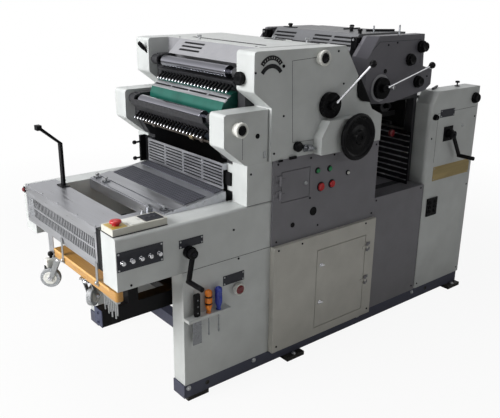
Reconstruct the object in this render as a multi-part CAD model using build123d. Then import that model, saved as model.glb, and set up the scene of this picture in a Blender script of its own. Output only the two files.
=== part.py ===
"""Two-colour sheet-fed offset printing press, built up from its base rails.

Working frame: x runs with the paper from the front end of the base rails, y runs across
from the operator side's cover plane, z is up from the floor, all in millimetres.
Every node is moved by SHIFT when it is written, so the origin ends on the floor
under the middle of the whole press.
"""
import os
from math import atan2, cos, degrees, hypot, radians, sin

from build123d import *

# across the press
WIDTH = 900.0            # between the two side cover planes
COVER = 100.0            # depth of a side cover
FEED_LINER = 15.0        # feeder side box's depth beyond a cover's
FRAME = 50.0             # thickness of a cast side frame, just inside the covers
RAIL_W = 85.0
PAD_OUT = 32.0           # how far the floor pads stand out past the covers
OVERHANG = 128.0         # how far the crank grips stand out from the operator cover plane

# heights, from the floor up
PAD_H = 20.0
RAIL_H = 62.0
LEG_H = 535.0            # lower panels and feeder legs
FEED_H = 217.0           # feeder side boxes
PANEL_H = 400.0          # dark control panel
LOWER_HEAD_H = 223.0
THROAT = 77.0            # gap between the two heads at their front
UPPER_FACE = 162.0       # upright front of the upper head
SHELF_H = 93.0           # transfer section above the lower panels
UNIT2_CLEAR = 164.0      # second head's underside above the waist
UNIT2_H = 324.0
DELIVERY_H = 192.0       # delivery's top above the waist

# lengths along the paper path
LEG_FRONT = 6.0          # feeder leg behind the front end of the rails
FEED_REACH = 293.0       # feeder boxes in front of the legs
FEED_RUN = 331.0         # feeder leg front to main body front
BODY_FACE = 138.0        # main body front to the panels
PANEL_L = 683.0
TRANSFER_L = 416.0
DELIVERY_L = 431.0
LOWER_REACH = 121.0      # lower head in front of the main body
HEAD_STEP = 140.0        # upper head behind the lower one

# clearances and sheet
RUN = 0.5                # radial clearance of a shaft in its bearing
SWING = 6.0              # clearance round what turns or slides
DOOR_GAP = 3.0           # gap round a door leaf
SHEET = 3.0

# what stands proud of the operator cover plane
HEAD_PROUD = 15.0
PANEL_PROUD = 10.0
CABINET_PROUD = 30.0
UNIT2_RECESS = 40.0      # second head's cover lies behind the plane

# levels and stations that follow from the sizes
RAIL_TOP = PAD_H + RAIL_H
SEAM = RAIL_TOP + LEG_H
FEED_TOP = SEAM + FEED_H
SHELF = SEAM + SHELF_H
WAIST = SEAM + PANEL_H
LOWER_TOP = WAIST + LOWER_HEAD_H
HEAD_LOW = LOWER_TOP + THROAT
HEAD_TOP = HEAD_LOW + UPPER_FACE
UNIT2_LOW = WAIST + UNIT2_CLEAR
UNIT2_TOP = UNIT2_LOW + UNIT2_H
DELIVERY_TOP = WAIST + DELIVERY_H

FEED_FRONT = LEG_FRONT - FEED_REACH
BODY_FRONT = LEG_FRONT + FEED_RUN
PANEL_FRONT = BODY_FRONT + BODY_FACE
PANEL_END = PANEL_FRONT + PANEL_L
DELIVERY_FRONT = PANEL_END + TRANSFER_L
DELIVERY_END = DELIVERY_FRONT + DELIVERY_L
LOWER_FRONT = BODY_FRONT - LOWER_REACH
UPPER_FRONT = LOWER_FRONT + HEAD_STEP

INNER0 = COVER + FRAME   # inside face of the operator side frame
INNER1 = WIDTH - INNER0
FEED0 = COVER + FEED_LINER  # inside face of the operator feeder box
FEED1 = WIDTH - FEED0

CASTER_OUT = 64.0        # how far the far caster reaches past the feeder front
SHIFT = (-(FEED_FRONT - CASTER_OUT + DELIVERY_END) / 2, -(WIDTH + PAD_OUT - OVERHANG) / 2, 0.0)


def block(x0, x1, y0, y1, z0, z1):
    """A box between six planes."""
    place = Pos((x0 + x1) / 2, (y0 + y1) / 2, (z0 + z1) / 2)
    return place * Box(x1 - x0, y1 - y0, z1 - z0)


def prism(outline, y0, y1):
    """An outline of (x, z) points carried across the press from y0 to y1."""
    wire = Polyline(*[(x, 0, z) for x, z in outline], close=True)
    solid = extrude(make_face(wire), amount=y1 - y0)
    return Pos(0, y0 - solid.bounding_box().min.Y, 0) * solid


def bar_x(y, z, r, x0, x1):
    """A round bar along x."""
    return Pos((x0 + x1) / 2, y, z) * Rot(0, 90, 0) * Cylinder(r, x1 - x0)


def bar_y(x, z, r, y0, y1):
    """A round bar along y."""
    return Pos(x, (y0 + y1) / 2, z) * Rot(90, 0, 0) * Cylinder(r, y1 - y0)


def bar_z(x, y, r, z0, z1):
    """A round bar along z."""
    return Pos(x, y, (z0 + z1) / 2) * Cylinder(r, z1 - z0)


def rod(a, b, r):
    """A round bar between two points."""
    a, b = Vector(*a), Vector(*b)
    return extrude(Plane(origin=a, z_dir=b - a) * Circle(r), amount=(b - a).length)


def other_side(shape):
    """The same piece on the drive side."""
    return shape.mirror(Plane((0, WIDTH / 2, 0), z_dir=(0, 1, 0)))


def pair(shape):
    """A piece and its repeat on the drive side."""
    return [shape, other_side(shape)]


def at_angle(axis, angle, shape):
    """Turn a piece built along +x about the y line through axis, upwards from +x."""
    return Pos(axis[0], 0, axis[1]) * Rot(0, -angle, 0) * shape


def write(name, *solids):
    """One node, as its own file."""
    found = [s for shape in solids for s in shape.solids()]
    node = Compound(children=found) if len(found) > 1 else found[0]
    export_step(node.moved(Location(SHIFT)), f"parts/{name}.step")


os.makedirs("parts", exist_ok=True)

# base: two rails tied by cross members, standing on pads
RAIL_SHORT = 15.0        # rails end this far before the delivery's end
TIE_W = 60.0
TIE_FRONT = 300.0
PAD_L = 110.0
PAD_FRONT = 20.0
PAD_MID = 575.0
PAD_BACK = 110.0         # last pad's front before the rail's end

rail_end = DELIVERY_END - RAIL_SHORT
rail = block(0, rail_end, 0, RAIL_W, PAD_H, RAIL_TOP)
base = rail + other_side(rail)
for x in (TIE_FRONT, PANEL_END, rail_end - TIE_W):
    base += block(x, x + TIE_W, RAIL_W, WIDTH - RAIL_W, PAD_H, RAIL_TOP)
write("base_frame", base)

pads = pair(block(PAD_FRONT, PAD_FRONT + PAD_L, 0, RAIL_W, 0, PAD_H))
for x in (PAD_MID, rail_end - PAD_BACK):
    pads += pair(block(x, x + PAD_L, -PAD_OUT, RAIL_W, 0, PAD_H))
write("floor_pads", *pads)

# feeder: legs on the rails, side boxes with rounded tops, lined as far as the side frames
EDGE_R = 12.0
FRAME_BACK = 8.0         # side frame behind the main body's front
frame_front = BODY_FRONT + FRAME_BACK
write("feeder_legs", *pair(block(LEG_FRONT, PANEL_FRONT, 0, RAIL_W, RAIL_TOP, SEAM)))
feed_side = block(FEED_FRONT, PANEL_FRONT, 0, COVER, SEAM, FEED_TOP)
feed_side += block(FEED_FRONT, frame_front, COVER, FEED0, SEAM, FEED_TOP)
top_edge = feed_side.faces().sort_by(Axis.Y)[0].edges().sort_by(Axis.Z)[-1]
feed_side = fillet(top_edge, EDGE_R)
write("feeder_sides", *pair(feed_side))

# guards: bent feeder sheet with two rows of upright slots and a lug, a bulkhead behind it,
# and the plain sheet that closes the upper part of the delivery's end
GUARD_NEAR = 150.0       # feeder guard starts this far from the operator plane
GUARD_FAR = 35.0         # and ends this far from the drive plane
GUARD_DROP = 171.0       # its front below the feeder's top
COVER_L = 148.0          # its top plate along the paper path
WELL_NEAR = 215.0        # the pile well starts this far from the operator plane
TABLE_FRONT = -5.0
SLOTS = 42
SLOT_W = 9.5
SLOT_H = 40.0
SLOT_LOW = 37.0          # lower slots above the sheet's bottom edge
SLOT_PITCH = 48.0
SLOT_EDGE = 22.0         # first and last slot from the sheet's ends
LUG_FAR = 258.0          # lug's far edge from the drive plane
LUG_W = 50.0
LUG_H = 84.0             # lug below the sheet's bottom edge
END_DROP = 560.0         # delivery sheet's height
HOOD_T = 30.0
HOOD_DOWN = 80.0         # delivery hood below the tops of its side boxes

guard_x = FEED_FRONT - SHEET
guard_y = (GUARD_NEAR, WIDTH - GUARD_FAR)
guard_low = FEED_TOP - GUARD_DROP
cover_back = FEED_FRONT + COVER_L - SHEET
lug_far = WIDTH - LUG_FAR
guard = block(guard_x, FEED_FRONT, *guard_y, guard_low, FEED_TOP + SHEET)
guard += block(guard_x, cover_back, *guard_y, FEED_TOP, FEED_TOP + SHEET)
guard += block(cover_back, TABLE_FRONT, GUARD_NEAR, WELL_NEAR, FEED_TOP, FEED_TOP + SHEET)
guard += block(guard_x, FEED_FRONT, lug_far - LUG_W, lug_far, guard_low - LUG_H, guard_low)
slot_step = (guard_y[1] - guard_y[0] - 2 * SLOT_EDGE) / (SLOTS - 1)
slots = []
for i in range(SLOTS):
    y = guard_y[0] + SLOT_EDGE + slot_step * i - SLOT_W / 2
    for z in (guard_low + SLOT_LOW, guard_low + SLOT_LOW + SLOT_PITCH):
        slots.append(block(guard_x - 1, FEED_FRONT + 1, y, y + SLOT_W, z, z + SLOT_H))
hood_top = DELIVERY_TOP - HOOD_DOWN
hood_low = hood_top - HOOD_T
end_sheet = block(
    DELIVERY_END - SHEET, DELIVERY_END, COVER, WIDTH - COVER, hood_low - END_DROP, hood_low)
write("slotted_guards", guard - slots, end_sheet)
write("feeder_bulkhead", block(FEED_FRONT, FEED_FRONT + SHEET, FEED0, FEED1, guard_low, FEED_TOP))

# feed table: a wedge between the side boxes, with bars and two ribbed mats
TABLE_BACK = 25.0        # table's back end before the main body's front
TABLE_DEPTH = 44.0
TABLE_LIP = 2.0          # the table's front edge above the feeder's top
TABLE_RISE = 43.0
MAT_T = 3.0
MAT_EDGE = 137.0
MAT_FIRST = 108.0
MAT_SECOND = 42.0
MAT_BACK = 4.0           # second mat before the table's back end
BAR_T = 5.0
BAR_FRONT = 5.0          # first bar behind the table's front edge
BAR_FIRST = 36.0
BAR_SECOND = 60.0
BAR_GAP = 8.0
TABLE_END = BODY_FRONT - TABLE_BACK


def table_z(x):
    """Height of the feed table's surface."""
    return FEED_TOP + TABLE_LIP + TABLE_RISE * (x - TABLE_FRONT) / (TABLE_END - TABLE_FRONT)


def on_table(x0, x1, y0, y1, t):
    """A plate of thickness t lying on the sloped table."""
    low = [(x0, table_z(x0)), (x1, table_z(x1))]
    high = [(x1, table_z(x1) + t), (x0, table_z(x0) + t)]
    return prism(low + high, y0, y1)


bar0 = TABLE_FRONT + BAR_FRONT
bar1 = bar0 + BAR_FIRST + BAR_GAP
mat0 = bar1 + BAR_SECOND + BAR_GAP
mat1 = TABLE_END - MAT_BACK - MAT_SECOND
table_low = FEED_TOP - TABLE_DEPTH
table = prism(
    [
        (TABLE_FRONT, table_low),
        (TABLE_END, table_low),
        (TABLE_END, table_z(TABLE_END)),
        (TABLE_FRONT, table_z(TABLE_FRONT)),
    ],
    FEED0, FEED1)
for x0, x1 in ((bar0, bar0 + BAR_FIRST), (bar1, bar1 + BAR_SECOND)):
    table += on_table(x0, x1, FEED0, FEED1, BAR_T)
write("feed_table", table)
mats = ((mat0, mat0 + MAT_FIRST), (mat1, mat1 + MAT_SECOND))
write("feed_mats", *[on_table(x0, x1, MAT_EDGE, WIDTH - MAT_EDGE, MAT_T) for x0, x1 in mats])

# main body: light front ends that lap the cast side frames
LAP = 37.0               # front end's lap over the frame's edge
LAP_DOWN = 20.0          # lap's top below the waist
body = block(BODY_FRONT, PANEL_FRONT, 0, COVER, FEED_TOP, WAIST)
body += block(BODY_FRONT, frame_front, 0, COVER + LAP, FEED_TOP + TABLE_RISE, WAIST - LAP_DOWN)
write("body_sides", *pair(body))

# heads of the first unit, drawn in (x, z) on the operator side
HEAD_R = 16.0
LOWER_CUT = 86.0         # height of the lower head's cut-back front
LOWER_SLOPE = 109.0      # and its depth
HEAD_GAP = 5.0           # between lower and upper covers
NECK_BACK = 28.0         # lower head's back before the panels
TOP_SHORT = 278.0        # upper head's top ends this far before the panels' end
STEP_L = 76.0
STEP_H = 161.0
STEP_DROP = 35.0
neck = PANEL_FRONT - NECK_BACK
top_back = PANEL_END - TOP_SHORT
step_x = PANEL_END - STEP_L


def slant_x(z):
    """Where the upper head's slanted back edge stands at height z."""
    return top_back + (step_x - top_back) * (HEAD_TOP - z) / (HEAD_TOP - WAIST - STEP_H)


lower_head = prism(
    [
        (LOWER_FRONT, WAIST + LOWER_CUT),
        (LOWER_FRONT, LOWER_TOP),
        (neck, LOWER_TOP),
        (neck, WAIST),
        (LOWER_FRONT + LOWER_SLOPE, WAIST),
    ],
    0, COVER)
lower_head = fillet(lower_head.edges().filter_by(Axis.Y).sort_by(Axis.X)[:2], HEAD_R)
write("lower_heads", *pair(lower_head))

upper_head = prism(
    [
        (UPPER_FRONT, HEAD_LOW),
        (UPPER_FRONT, HEAD_TOP),
        (top_back, HEAD_TOP),
        (step_x, WAIST + STEP_H),
        (PANEL_END, WAIST + STEP_H - STEP_DROP),
        (PANEL_END, WAIST),
        (neck + HEAD_GAP, WAIST),
        (neck + HEAD_GAP, LOWER_TOP + HEAD_GAP),
    ],
    -HEAD_PROUD, COVER)
upper_head = fillet(upper_head.edges().filter_by(Axis.Y).sort_by(Axis.X)[:2], HEAD_R)
write("upper_heads", *pair(upper_head))

# rollers and cylinders between the frames
ROLLER_R = 28.0
ROLLER_IN = 36.0         # upper ink roller behind its head's front
ROLLER_UP = 60.0         # and above the head's lower front corner
LOWER_IN = 42.0          # lower ink roller behind its head's front
LOWER_DOWN = 42.0        # and below its head's top
DUCT_GAP = 7.0           # ink duct under its roller
DUCT_H = 38.0
DUCT_BACK = 58.0         # duct's back behind the roller's axis
DUCT_TOE = 14.0          # toe of its sloped face behind the axis
DUCT_HEEL = 18.0         # heel of that face in front of the axis
LIP_OUT = 10.0           # duct lip clear of the roller
LIP_ANGLE = 28.0         # lip's end below the roller's axis
LIP_T = 3.0
PLATE_R = 85.0
PLATE_FORE = 36.0        # plate cylinder's front before the upper head
PLATE_GAP = 10.0         # under the upper duct, and to the blanket cylinder
BLANKET_R = 85.0
BLANKET_ANGLE = 45.0     # blanket cylinder down and behind the plate cylinder
JOURNAL_R = 14.0
JOURNAL_IN = 42.0        # journal's length in the frame
END_GAP = 8.0            # barrel's end to the frame

upper_roller = (UPPER_FRONT + ROLLER_IN, HEAD_LOW + ROLLER_UP)
lower_roller = (LOWER_FRONT + LOWER_IN, LOWER_TOP - LOWER_DOWN)
duct_low = upper_roller[1] - ROLLER_R - DUCT_GAP - DUCT_H
plate = (UPPER_FRONT - PLATE_FORE + PLATE_R, duct_low - PLATE_GAP - PLATE_R)
spread = PLATE_R + BLANKET_R + PLATE_GAP
blanket = (
    plate[0] + spread * cos(radians(BLANKET_ANGLE)), plate[1] - spread * sin(radians(BLANKET_ANGLE)))
journal_end = INNER0 - JOURNAL_IN


def roller(axis, r):
    """A barrel between the frames with a journal in each of them."""
    barrel = bar_y(*axis, r, INNER0 + END_GAP, INNER1 - END_GAP)
    return barrel + bar_y(*axis, JOURNAL_R, journal_end, WIDTH - journal_end)


write("ink_roller_upper", roller(upper_roller, ROLLER_R))
write("ink_roller_lower", roller(lower_roller, ROLLER_R))
write("blanket_cylinder", roller(blanket, BLANKET_R))

# plate cylinder with a slotted clamp strip let into a flat
CLAMP_ANGLE = 130.0
CLAMP_W = 44.0
CLAMP_T = 9.0
CLAMP_SUNK = 4.0         # strip's face below the barrel
CLAMP_SLOTS = 4
CLAMP_BRIDGE = 10.0      # solid strip between its slots
CLAMP_SLOT_W = 9.0
CLAMP_SLOT_DEEP = 4.0

clamp_seat = PLATE_R - CLAMP_T
clamp_face = PLATE_R - CLAMP_SUNK
flat = block(clamp_seat, PLATE_R + 1, INNER0, INNER1, -CLAMP_W / 2, CLAMP_W / 2)
write("plate_cylinder", roller(plate, PLATE_R) - at_angle(plate, CLAMP_ANGLE, flat))
strip = block(
    clamp_seat, clamp_face, INNER0 + END_GAP, INNER1 - END_GAP, -CLAMP_W / 2, CLAMP_W / 2)
strip_step = (INNER1 - INNER0 - 2 * END_GAP) / CLAMP_SLOTS
for i in range(CLAMP_SLOTS):
    y = INNER0 + END_GAP + strip_step * i + CLAMP_BRIDGE / 2
    strip -= block(
        clamp_face - CLAMP_SLOT_DEEP, clamp_face + 1, y, y + strip_step - CLAMP_BRIDGE,
        -CLAMP_SLOT_W / 2, CLAMP_SLOT_W / 2)
write("plate_clamp", at_angle(plate, CLAMP_ANGLE, strip))

# ink ducts: each follows its roller, with a row of keys square to its sloped face
KEYS = 22
KEY_R = 8.0
KEY_L = 36.0
TIP_R = 4.5
TIP_L = 9.0
KEY_EDGE = 25.0          # first and last key from the frames


def duct_outline(axis, lip):
    """The duct's section under a roller, with or without a lip before the roller."""
    x, z = axis
    top = z - ROLLER_R - DUCT_GAP
    heel = (x - DUCT_HEEL, top)
    toe = (x + DUCT_TOE, top - DUCT_H)
    back = [(x + DUCT_BACK, top), (x + DUCT_BACK, top - DUCT_H), toe, heel]
    if not lip:
        return back
    reach = ROLLER_R + LIP_OUT
    tip = (x - reach * cos(radians(LIP_ANGLE)), z - reach * sin(radians(LIP_ANGLE)))
    return [(tip[0] + LIP_T, tip[1] + LIP_T), (heel[0] + LIP_T, heel[1])] + back + [tip]


def key_row(axis):
    """Keys standing square on the duct's sloped face, bright tips outwards."""
    x, z = axis
    top = z - ROLLER_R - DUCT_GAP
    root = (x + (DUCT_TOE - DUCT_HEEL) / 2, top - DUCT_H / 2)
    slope = degrees(atan2(DUCT_TOE + DUCT_HEEL, DUCT_H))
    step = (INNER1 - INNER0 - 2 * KEY_EDGE) / (KEYS - 1)
    row = []
    for i in range(KEYS):
        y = INNER0 + KEY_EDGE + step * i
        key = bar_x(y, 0, KEY_R, 0, KEY_L) + bar_x(y, 0, TIP_R, KEY_L, KEY_L + TIP_L)
        row.append(at_angle(root, 180 + slope, key))
    return row


write(
    "ink_ducts",
    prism(duct_outline(upper_roller, False), INNER0, INNER1),
    prism(duct_outline(lower_roller, True), INNER0, INNER1))
write("ink_keys", *key_row(upper_roller), *key_row(lower_roller))

# cast side frames, set in from the covers: an ear round each front journal, the top under
# the first hood's lid, the second head's outline drawn in, and an opening at the transfer
FRAME_IN = 12.0
FRONT_IN = 10.0          # frame's front behind the ink rollers' axes
EAR_R = 24.0
NOSE_IN = 7.0            # frame's foot before the lower head's cut-back front
NOSE_GAP = 5.0           # above and below the waist there
LID_UP = 88.0            # first hood's lid above the upper head's lower corner
OPEN_EDGE = 42.0         # opening behind the panels' end
OPEN_BACK = 24.0         # and before the delivery
OPEN_TOP = 11.0          # and below the second head
UNIT2_FORE = 110.0       # second head's front before the panels' end
CREST2 = 70.0            # its top edge starts this far behind its front
CREST2_DOWN = 90.0       # its upright front ends this far below its top
TOP2_L = 392.0
BACK2_LEAN = 9.0         # its back leans this far down to the notch
NOTCH_DOWN = 160.0
NOTCH_FALL = 21.0
NOTCH_L = 88.0           # notch's foot behind the top's end
FRAME2_FORE = 56.0       # frame's front behind the second head's
FRAME2_IN = 14.0
FRAME2_UP = 99.0         # frame between the units above the second head's underside

lid_low = HEAD_LOW + LID_UP
unit2_x = PANEL_END - UNIT2_FORE
back2 = unit2_x + CREST2 + TOP2_L
frame2_x = unit2_x + FRAME2_FORE
frame_step = UNIT2_LOW + FRAME2_UP
frame = prism(
    [
        (frame_front, RAIL_TOP),
        (frame_front, WAIST - NOSE_GAP),
        (LOWER_FRONT + LOWER_SLOPE - NOSE_IN, WAIST + NOSE_GAP),
        (lower_roller[0] + FRONT_IN, WAIST + LOWER_CUT + NOSE_GAP),
        (lower_roller[0] + FRONT_IN, LOWER_TOP - FRAME_IN),
        (upper_roller[0] + FRONT_IN, LOWER_TOP - FRAME_IN),
        (upper_roller[0] + FRONT_IN, lid_low),
        (slant_x(lid_low) - FRAME_IN, lid_low),
        (slant_x(frame_step) - FRAME_IN, frame_step),
        (frame2_x, frame_step),
        (frame2_x, UNIT2_TOP - CREST2_DOWN - FRAME2_IN),
        (frame2_x + CREST2 - FRAME2_IN, UNIT2_TOP - FRAME2_IN),
        (back2 - FRAME2_IN, UNIT2_TOP - FRAME2_IN),
        (back2 + BACK2_LEAN - FRAME2_IN, UNIT2_TOP - NOTCH_DOWN - FRAME2_IN),
        (DELIVERY_FRONT, UNIT2_TOP - NOTCH_DOWN - NOTCH_FALL - FRAME2_IN),
        (DELIVERY_FRONT, RAIL_TOP),
    ],
    COVER, INNER0)
open_x = (PANEL_END + OPEN_EDGE, DELIVERY_FRONT - OPEN_BACK)
frame -= block(*open_x, COVER - 1, INNER0 + 1, SHELF, UNIT2_LOW - OPEN_TOP)
for axis in (upper_roller, lower_roller, plate):
    frame += bar_y(*axis, EAR_R, COVER, INNER0)
for axis in (upper_roller, lower_roller, plate, blanket):
    frame -= bar_y(*axis, JOURNAL_R + RUN, journal_end - 2, INNER0 + 1)
write("side_frames", *pair(frame))

# register shaft with two collars under the lower duct
SHAFT_R = 7.0
COLLAR_R = 13.0
COLLAR_L = 22.0
SHAFT_IN = 75.0          # shaft behind the lower head's front
SHAFT_UP = 68.0          # and above the waist
COLLAR_EDGE = 90.0
shaft_axis = (LOWER_FRONT + SHAFT_IN, WAIST + SHAFT_UP)
shaft = bar_y(*shaft_axis, SHAFT_R, INNER0, INNER1)
for y in (INNER0 + COLLAR_EDGE, INNER1 - COLLAR_EDGE - COLLAR_L):
    shaft += bar_y(*shaft_axis, COLLAR_R, y, y + COLLAR_L)
write("register_shaft", shaft)

# louvred guards: four columns over the feed table, three at the delivery's front
LOUVRE_T = 4.0
LOUVRE_ROWS = 7
LOUVRE_COLS = 4
LOUVRE_SLOT = 7.0
LOUVRE_BRIDGE = 14.0
LOUVRE_EDGE = 8.0
LOUVRE_DOWN = 19.0       # feed table's guard below the waist
LOUVRE_EAR = 30.0        # height of the ears that carry it on the frames
GUARD2_ROWS = 9
GUARD2_COLS = 3
GUARD2_BACK = 74.0       # guard before the delivery's front
GUARD2_H = 290.0
GUARD2_EDGE = 60.0       # its ends from the cover planes


def louvred(x, y0, y1, z0, z1, cols, rows):
    """An upright sheet across the press with rows of level slots."""
    sheet = block(x, x + LOUVRE_T, y0, y1, z0, z1)
    wide = (y1 - y0) / cols
    high = (z1 - z0 - 2 * LOUVRE_EDGE) / rows
    cut = []
    for i in range(cols):
        for j in range(rows):
            y = y0 + wide * i + LOUVRE_BRIDGE / 2
            z = z0 + LOUVRE_EDGE + high * (j + 0.5) - LOUVRE_SLOT / 2
            cut.append(block(x - 1, x + LOUVRE_T + 1, y, y + wide - LOUVRE_BRIDGE, z, z + LOUVRE_SLOT))
    return sheet - cut


louvre_y = (COVER + LAP, WIDTH - COVER - LAP)
louvre_z = (table_z(TABLE_END) + MAT_T, WAIST - LOUVRE_DOWN)
louvre = louvred(TABLE_END, *louvre_y, *louvre_z, LOUVRE_COLS, LOUVRE_ROWS)
for y0, y1 in ((louvre_y[0], INNER0), (INNER1, louvre_y[1])):
    louvre += block(TABLE_END + LOUVRE_T, frame_front, y0, y1, louvre_z[1] - LOUVRE_EAR, louvre_z[1])
guard2 = louvred(
    DELIVERY_FRONT - GUARD2_BACK, GUARD2_EDGE, WIDTH - GUARD2_EDGE, SHELF, SHELF + GUARD2_H,
    GUARD2_COLS, GUARD2_ROWS)
write("louvred_guards", louvre, guard2)

# hoods over the two units, with groups of slots let into their sloped fronts: the first has
# a lid from cover to cover over the frames, a sloped front and a deep part between the frames
VENT_DEEP = 12.0
VENT_W = 11.0
VENT_PITCH = 22.0
VENT_FIRST = 26.0        # first slot above the slope's lower edge
VENTS = 3
HOOD1_IN = 44.0          # first hood's lower front edge behind the upper head's front
HOOD1_UP = 98.0          # and above the head's lower corner
HOOD1_SLOPE = 70.0
HOOD1_FAR = 210.0        # its sloped front ends this far from the drive plane
HOOD1_BEND = 115.0       # its back turns upright this far above the second head's underside
HOOD1_BACK = 150.0       # its deep part behind the plate cylinder
HOOD1_RAMP = 110.0       # ramp from the deep part up to the lid
HOOD1_MID = 28.0         # ramp's bend above the upper head's lower corner
HOOD2_FORE = 32.0
HOOD2_SLOPE = 65.0
HOOD2_FRONT_H = 79.0
HOOD2_CROWN = 4.0        # second hood above its covers
HOOD2_BACK = 16.0        # its back before the covers' top end
HOOD2_TOE = 62.0         # its lower front edge behind the covers' front
HOOD2_UP = 19.0          # its underside above the covers'
VENTS1 = ((466.0, 164.0),)
VENTS2 = ((160.0, 140.0), (318.0, 122.0), (577.0, 160.0))


def vents(low, high, groups):
    """Cutters for groups of level slots in a sloped face from low to high."""
    run = hypot(high[0] - low[0], high[1] - low[1])
    ux, uz = (high[0] - low[0]) / run, (high[1] - low[1]) / run
    cut = []
    for y, length in groups:
        for i in range(VENTS):
            s0 = VENT_FIRST + VENT_PITCH * i
            s1 = s0 + VENT_W
            outline = []
            for s, d in ((s0, 1), (s1, 1), (s1, -VENT_DEEP), (s0, -VENT_DEEP)):
                outline.append((low[0] + ux * s - uz * d, low[1] + uz * s + ux * d))
            cut.append(prism(outline, y, y + length))
    return cut


front1 = (UPPER_FRONT + HOOD1_IN, HEAD_LOW + HOOD1_UP)
crest1 = (front1[0] + HOOD1_SLOPE, HEAD_TOP)
lid_back = slant_x(lid_low) - FRAME_IN
bend1 = (slant_x(UNIT2_LOW + HOOD1_BEND) - FRAME_IN, UNIT2_LOW + HOOD1_BEND)
deep_x = plate[0] + PLATE_R + HOOD1_BACK
hood1 = prism(
    [(crest1[0], lid_low), crest1, (top_back - FRAME_IN, HEAD_TOP), (lid_back, lid_low)],
    COVER, WIDTH - COVER)
hood1 += prism([front1, crest1, (crest1[0], front1[1])], COVER, WIDTH - HOOD1_FAR)
hood1 += prism(
    [
        (crest1[0], lid_low),
        (lid_back, lid_low),
        bend1,
        (bend1[0], UNIT2_LOW),
        (deep_x, UNIT2_LOW),
        (deep_x - HOOD1_RAMP, HEAD_LOW + HOOD1_MID),
    ],
    INNER0, INNER1)
write("unit1_hood", hood1 - vents(front1, crest1, VENTS1))

hood2_top = UNIT2_TOP + HOOD2_CROWN
front2 = (unit2_x + HOOD2_FORE, hood2_top - HOOD2_FRONT_H)
crest2 = (front2[0] + HOOD2_SLOPE, hood2_top)
hood2 = prism(
    [
        front2,
        crest2,
        (back2 - HOOD2_BACK, hood2_top),
        (back2 - HOOD2_BACK, UNIT2_LOW + HOOD2_UP),
        (unit2_x + HOOD2_TOE, UNIT2_LOW + HOOD2_UP),
    ],
    INNER0, INNER1)
write("unit2_hood", hood2 - vents(front2, crest2, VENTS2))

# second head's covers, bevelled towards the first unit
BEVEL = 40.0
TAIL_UP = 66.0           # foot of its back above its underside
TAIL_IN = 42.0           # and the corner below that
TAIL_LOW = 38.0
BELLY_BACK = 255.0       # level underside's back end
BELLY_FRONT = 92.0       # and its front end
CHIN_UP = 69.0           # foot of its upright front
cover2 = prism(
    [
        (unit2_x + CREST2, UNIT2_TOP),
        (back2, UNIT2_TOP),
        (back2 + BACK2_LEAN, UNIT2_TOP - NOTCH_DOWN),
        (back2 + NOTCH_L, UNIT2_TOP - NOTCH_DOWN - NOTCH_FALL),
        (back2 + NOTCH_L, UNIT2_LOW + TAIL_UP),
        (back2 + NOTCH_L - TAIL_IN, UNIT2_LOW + TAIL_LOW),
        (unit2_x + BELLY_BACK, UNIT2_LOW),
        (unit2_x + BELLY_FRONT, UNIT2_LOW),
        (unit2_x, UNIT2_LOW + CHIN_UP),
        (unit2_x, UNIT2_TOP - CREST2_DOWN),
    ],
    UNIT2_RECESS, COVER)
face2 = cover2.faces().sort_by(Axis.Y)[0]
cover2 = chamfer(face2.edges().sort_by(Axis.X)[:3], BEVEL)
write("unit2_heads", *pair(cover2))

# on top of the second unit: a stop pin on the hood, one on the cover, and a flat bar
STOP_PIN_R = 4.0
STOP_PIN_H = 34.0
STOP_PIN_IN = 233.0      # hood's pin behind the second head's front
STOP_PIN_EDGE = 29.0     # and from the hood's end
COVER_PIN_H = 47.0
COVER_PIN_IN = 275.0
COVER_PIN_EDGE = 12.0    # cover's pin from its outer face
TOP_BAR = (150.0, 14.0, 12.0)
TOP_BAR_IN = 338.0
TOP_BAR_EDGE = 76.0
TOP_BAR_TURN = -29.0
write(
    "hood_pins",
    bar_z(unit2_x + STOP_PIN_IN, INNER0 + STOP_PIN_EDGE, STOP_PIN_R, hood2_top, hood2_top + STOP_PIN_H),
    bar_z(
        unit2_x + COVER_PIN_IN, UNIT2_RECESS + COVER_PIN_EDGE, STOP_PIN_R,
        UNIT2_TOP, UNIT2_TOP + COVER_PIN_H))
bar_at = Pos(unit2_x + TOP_BAR_IN, INNER0 + TOP_BAR_EDGE, hood2_top + TOP_BAR[2] / 2)
write("hood_bar", bar_at * Rot(0, 0, TOP_BAR_TURN) * Box(*TOP_BAR))

# transfer section: shelf boxes and the tray between the frames
TRAY_T = 20.0
box = block(PANEL_END, DELIVERY_FRONT, 0, COVER, RAIL_TOP, SHELF)
tray = block(*open_x, INNER0, INNER1, SHELF - TRAY_T, SHELF)
write("transfer_boxes", *pair(box), tray)

# delivery: side boxes with a cut, rounded front corner and ledges, a sunk hood, a pile board
CORNER_L = 40.0
CORNER_H = 65.0
CORNER_R = 22.0
LEDGE = 30.0
LEDGE_UP = 248.0         # ledges above the rails
BOARD2_T = 22.0
BOARD2_SIDE = 10.0       # board's sides inside the side boxes
BOARD2_EDGE = 20.0
BOARD2_FRONT = 66.0      # board behind the delivery's front
HOOD_BACK = 46.0         # hood behind the delivery's front

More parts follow.
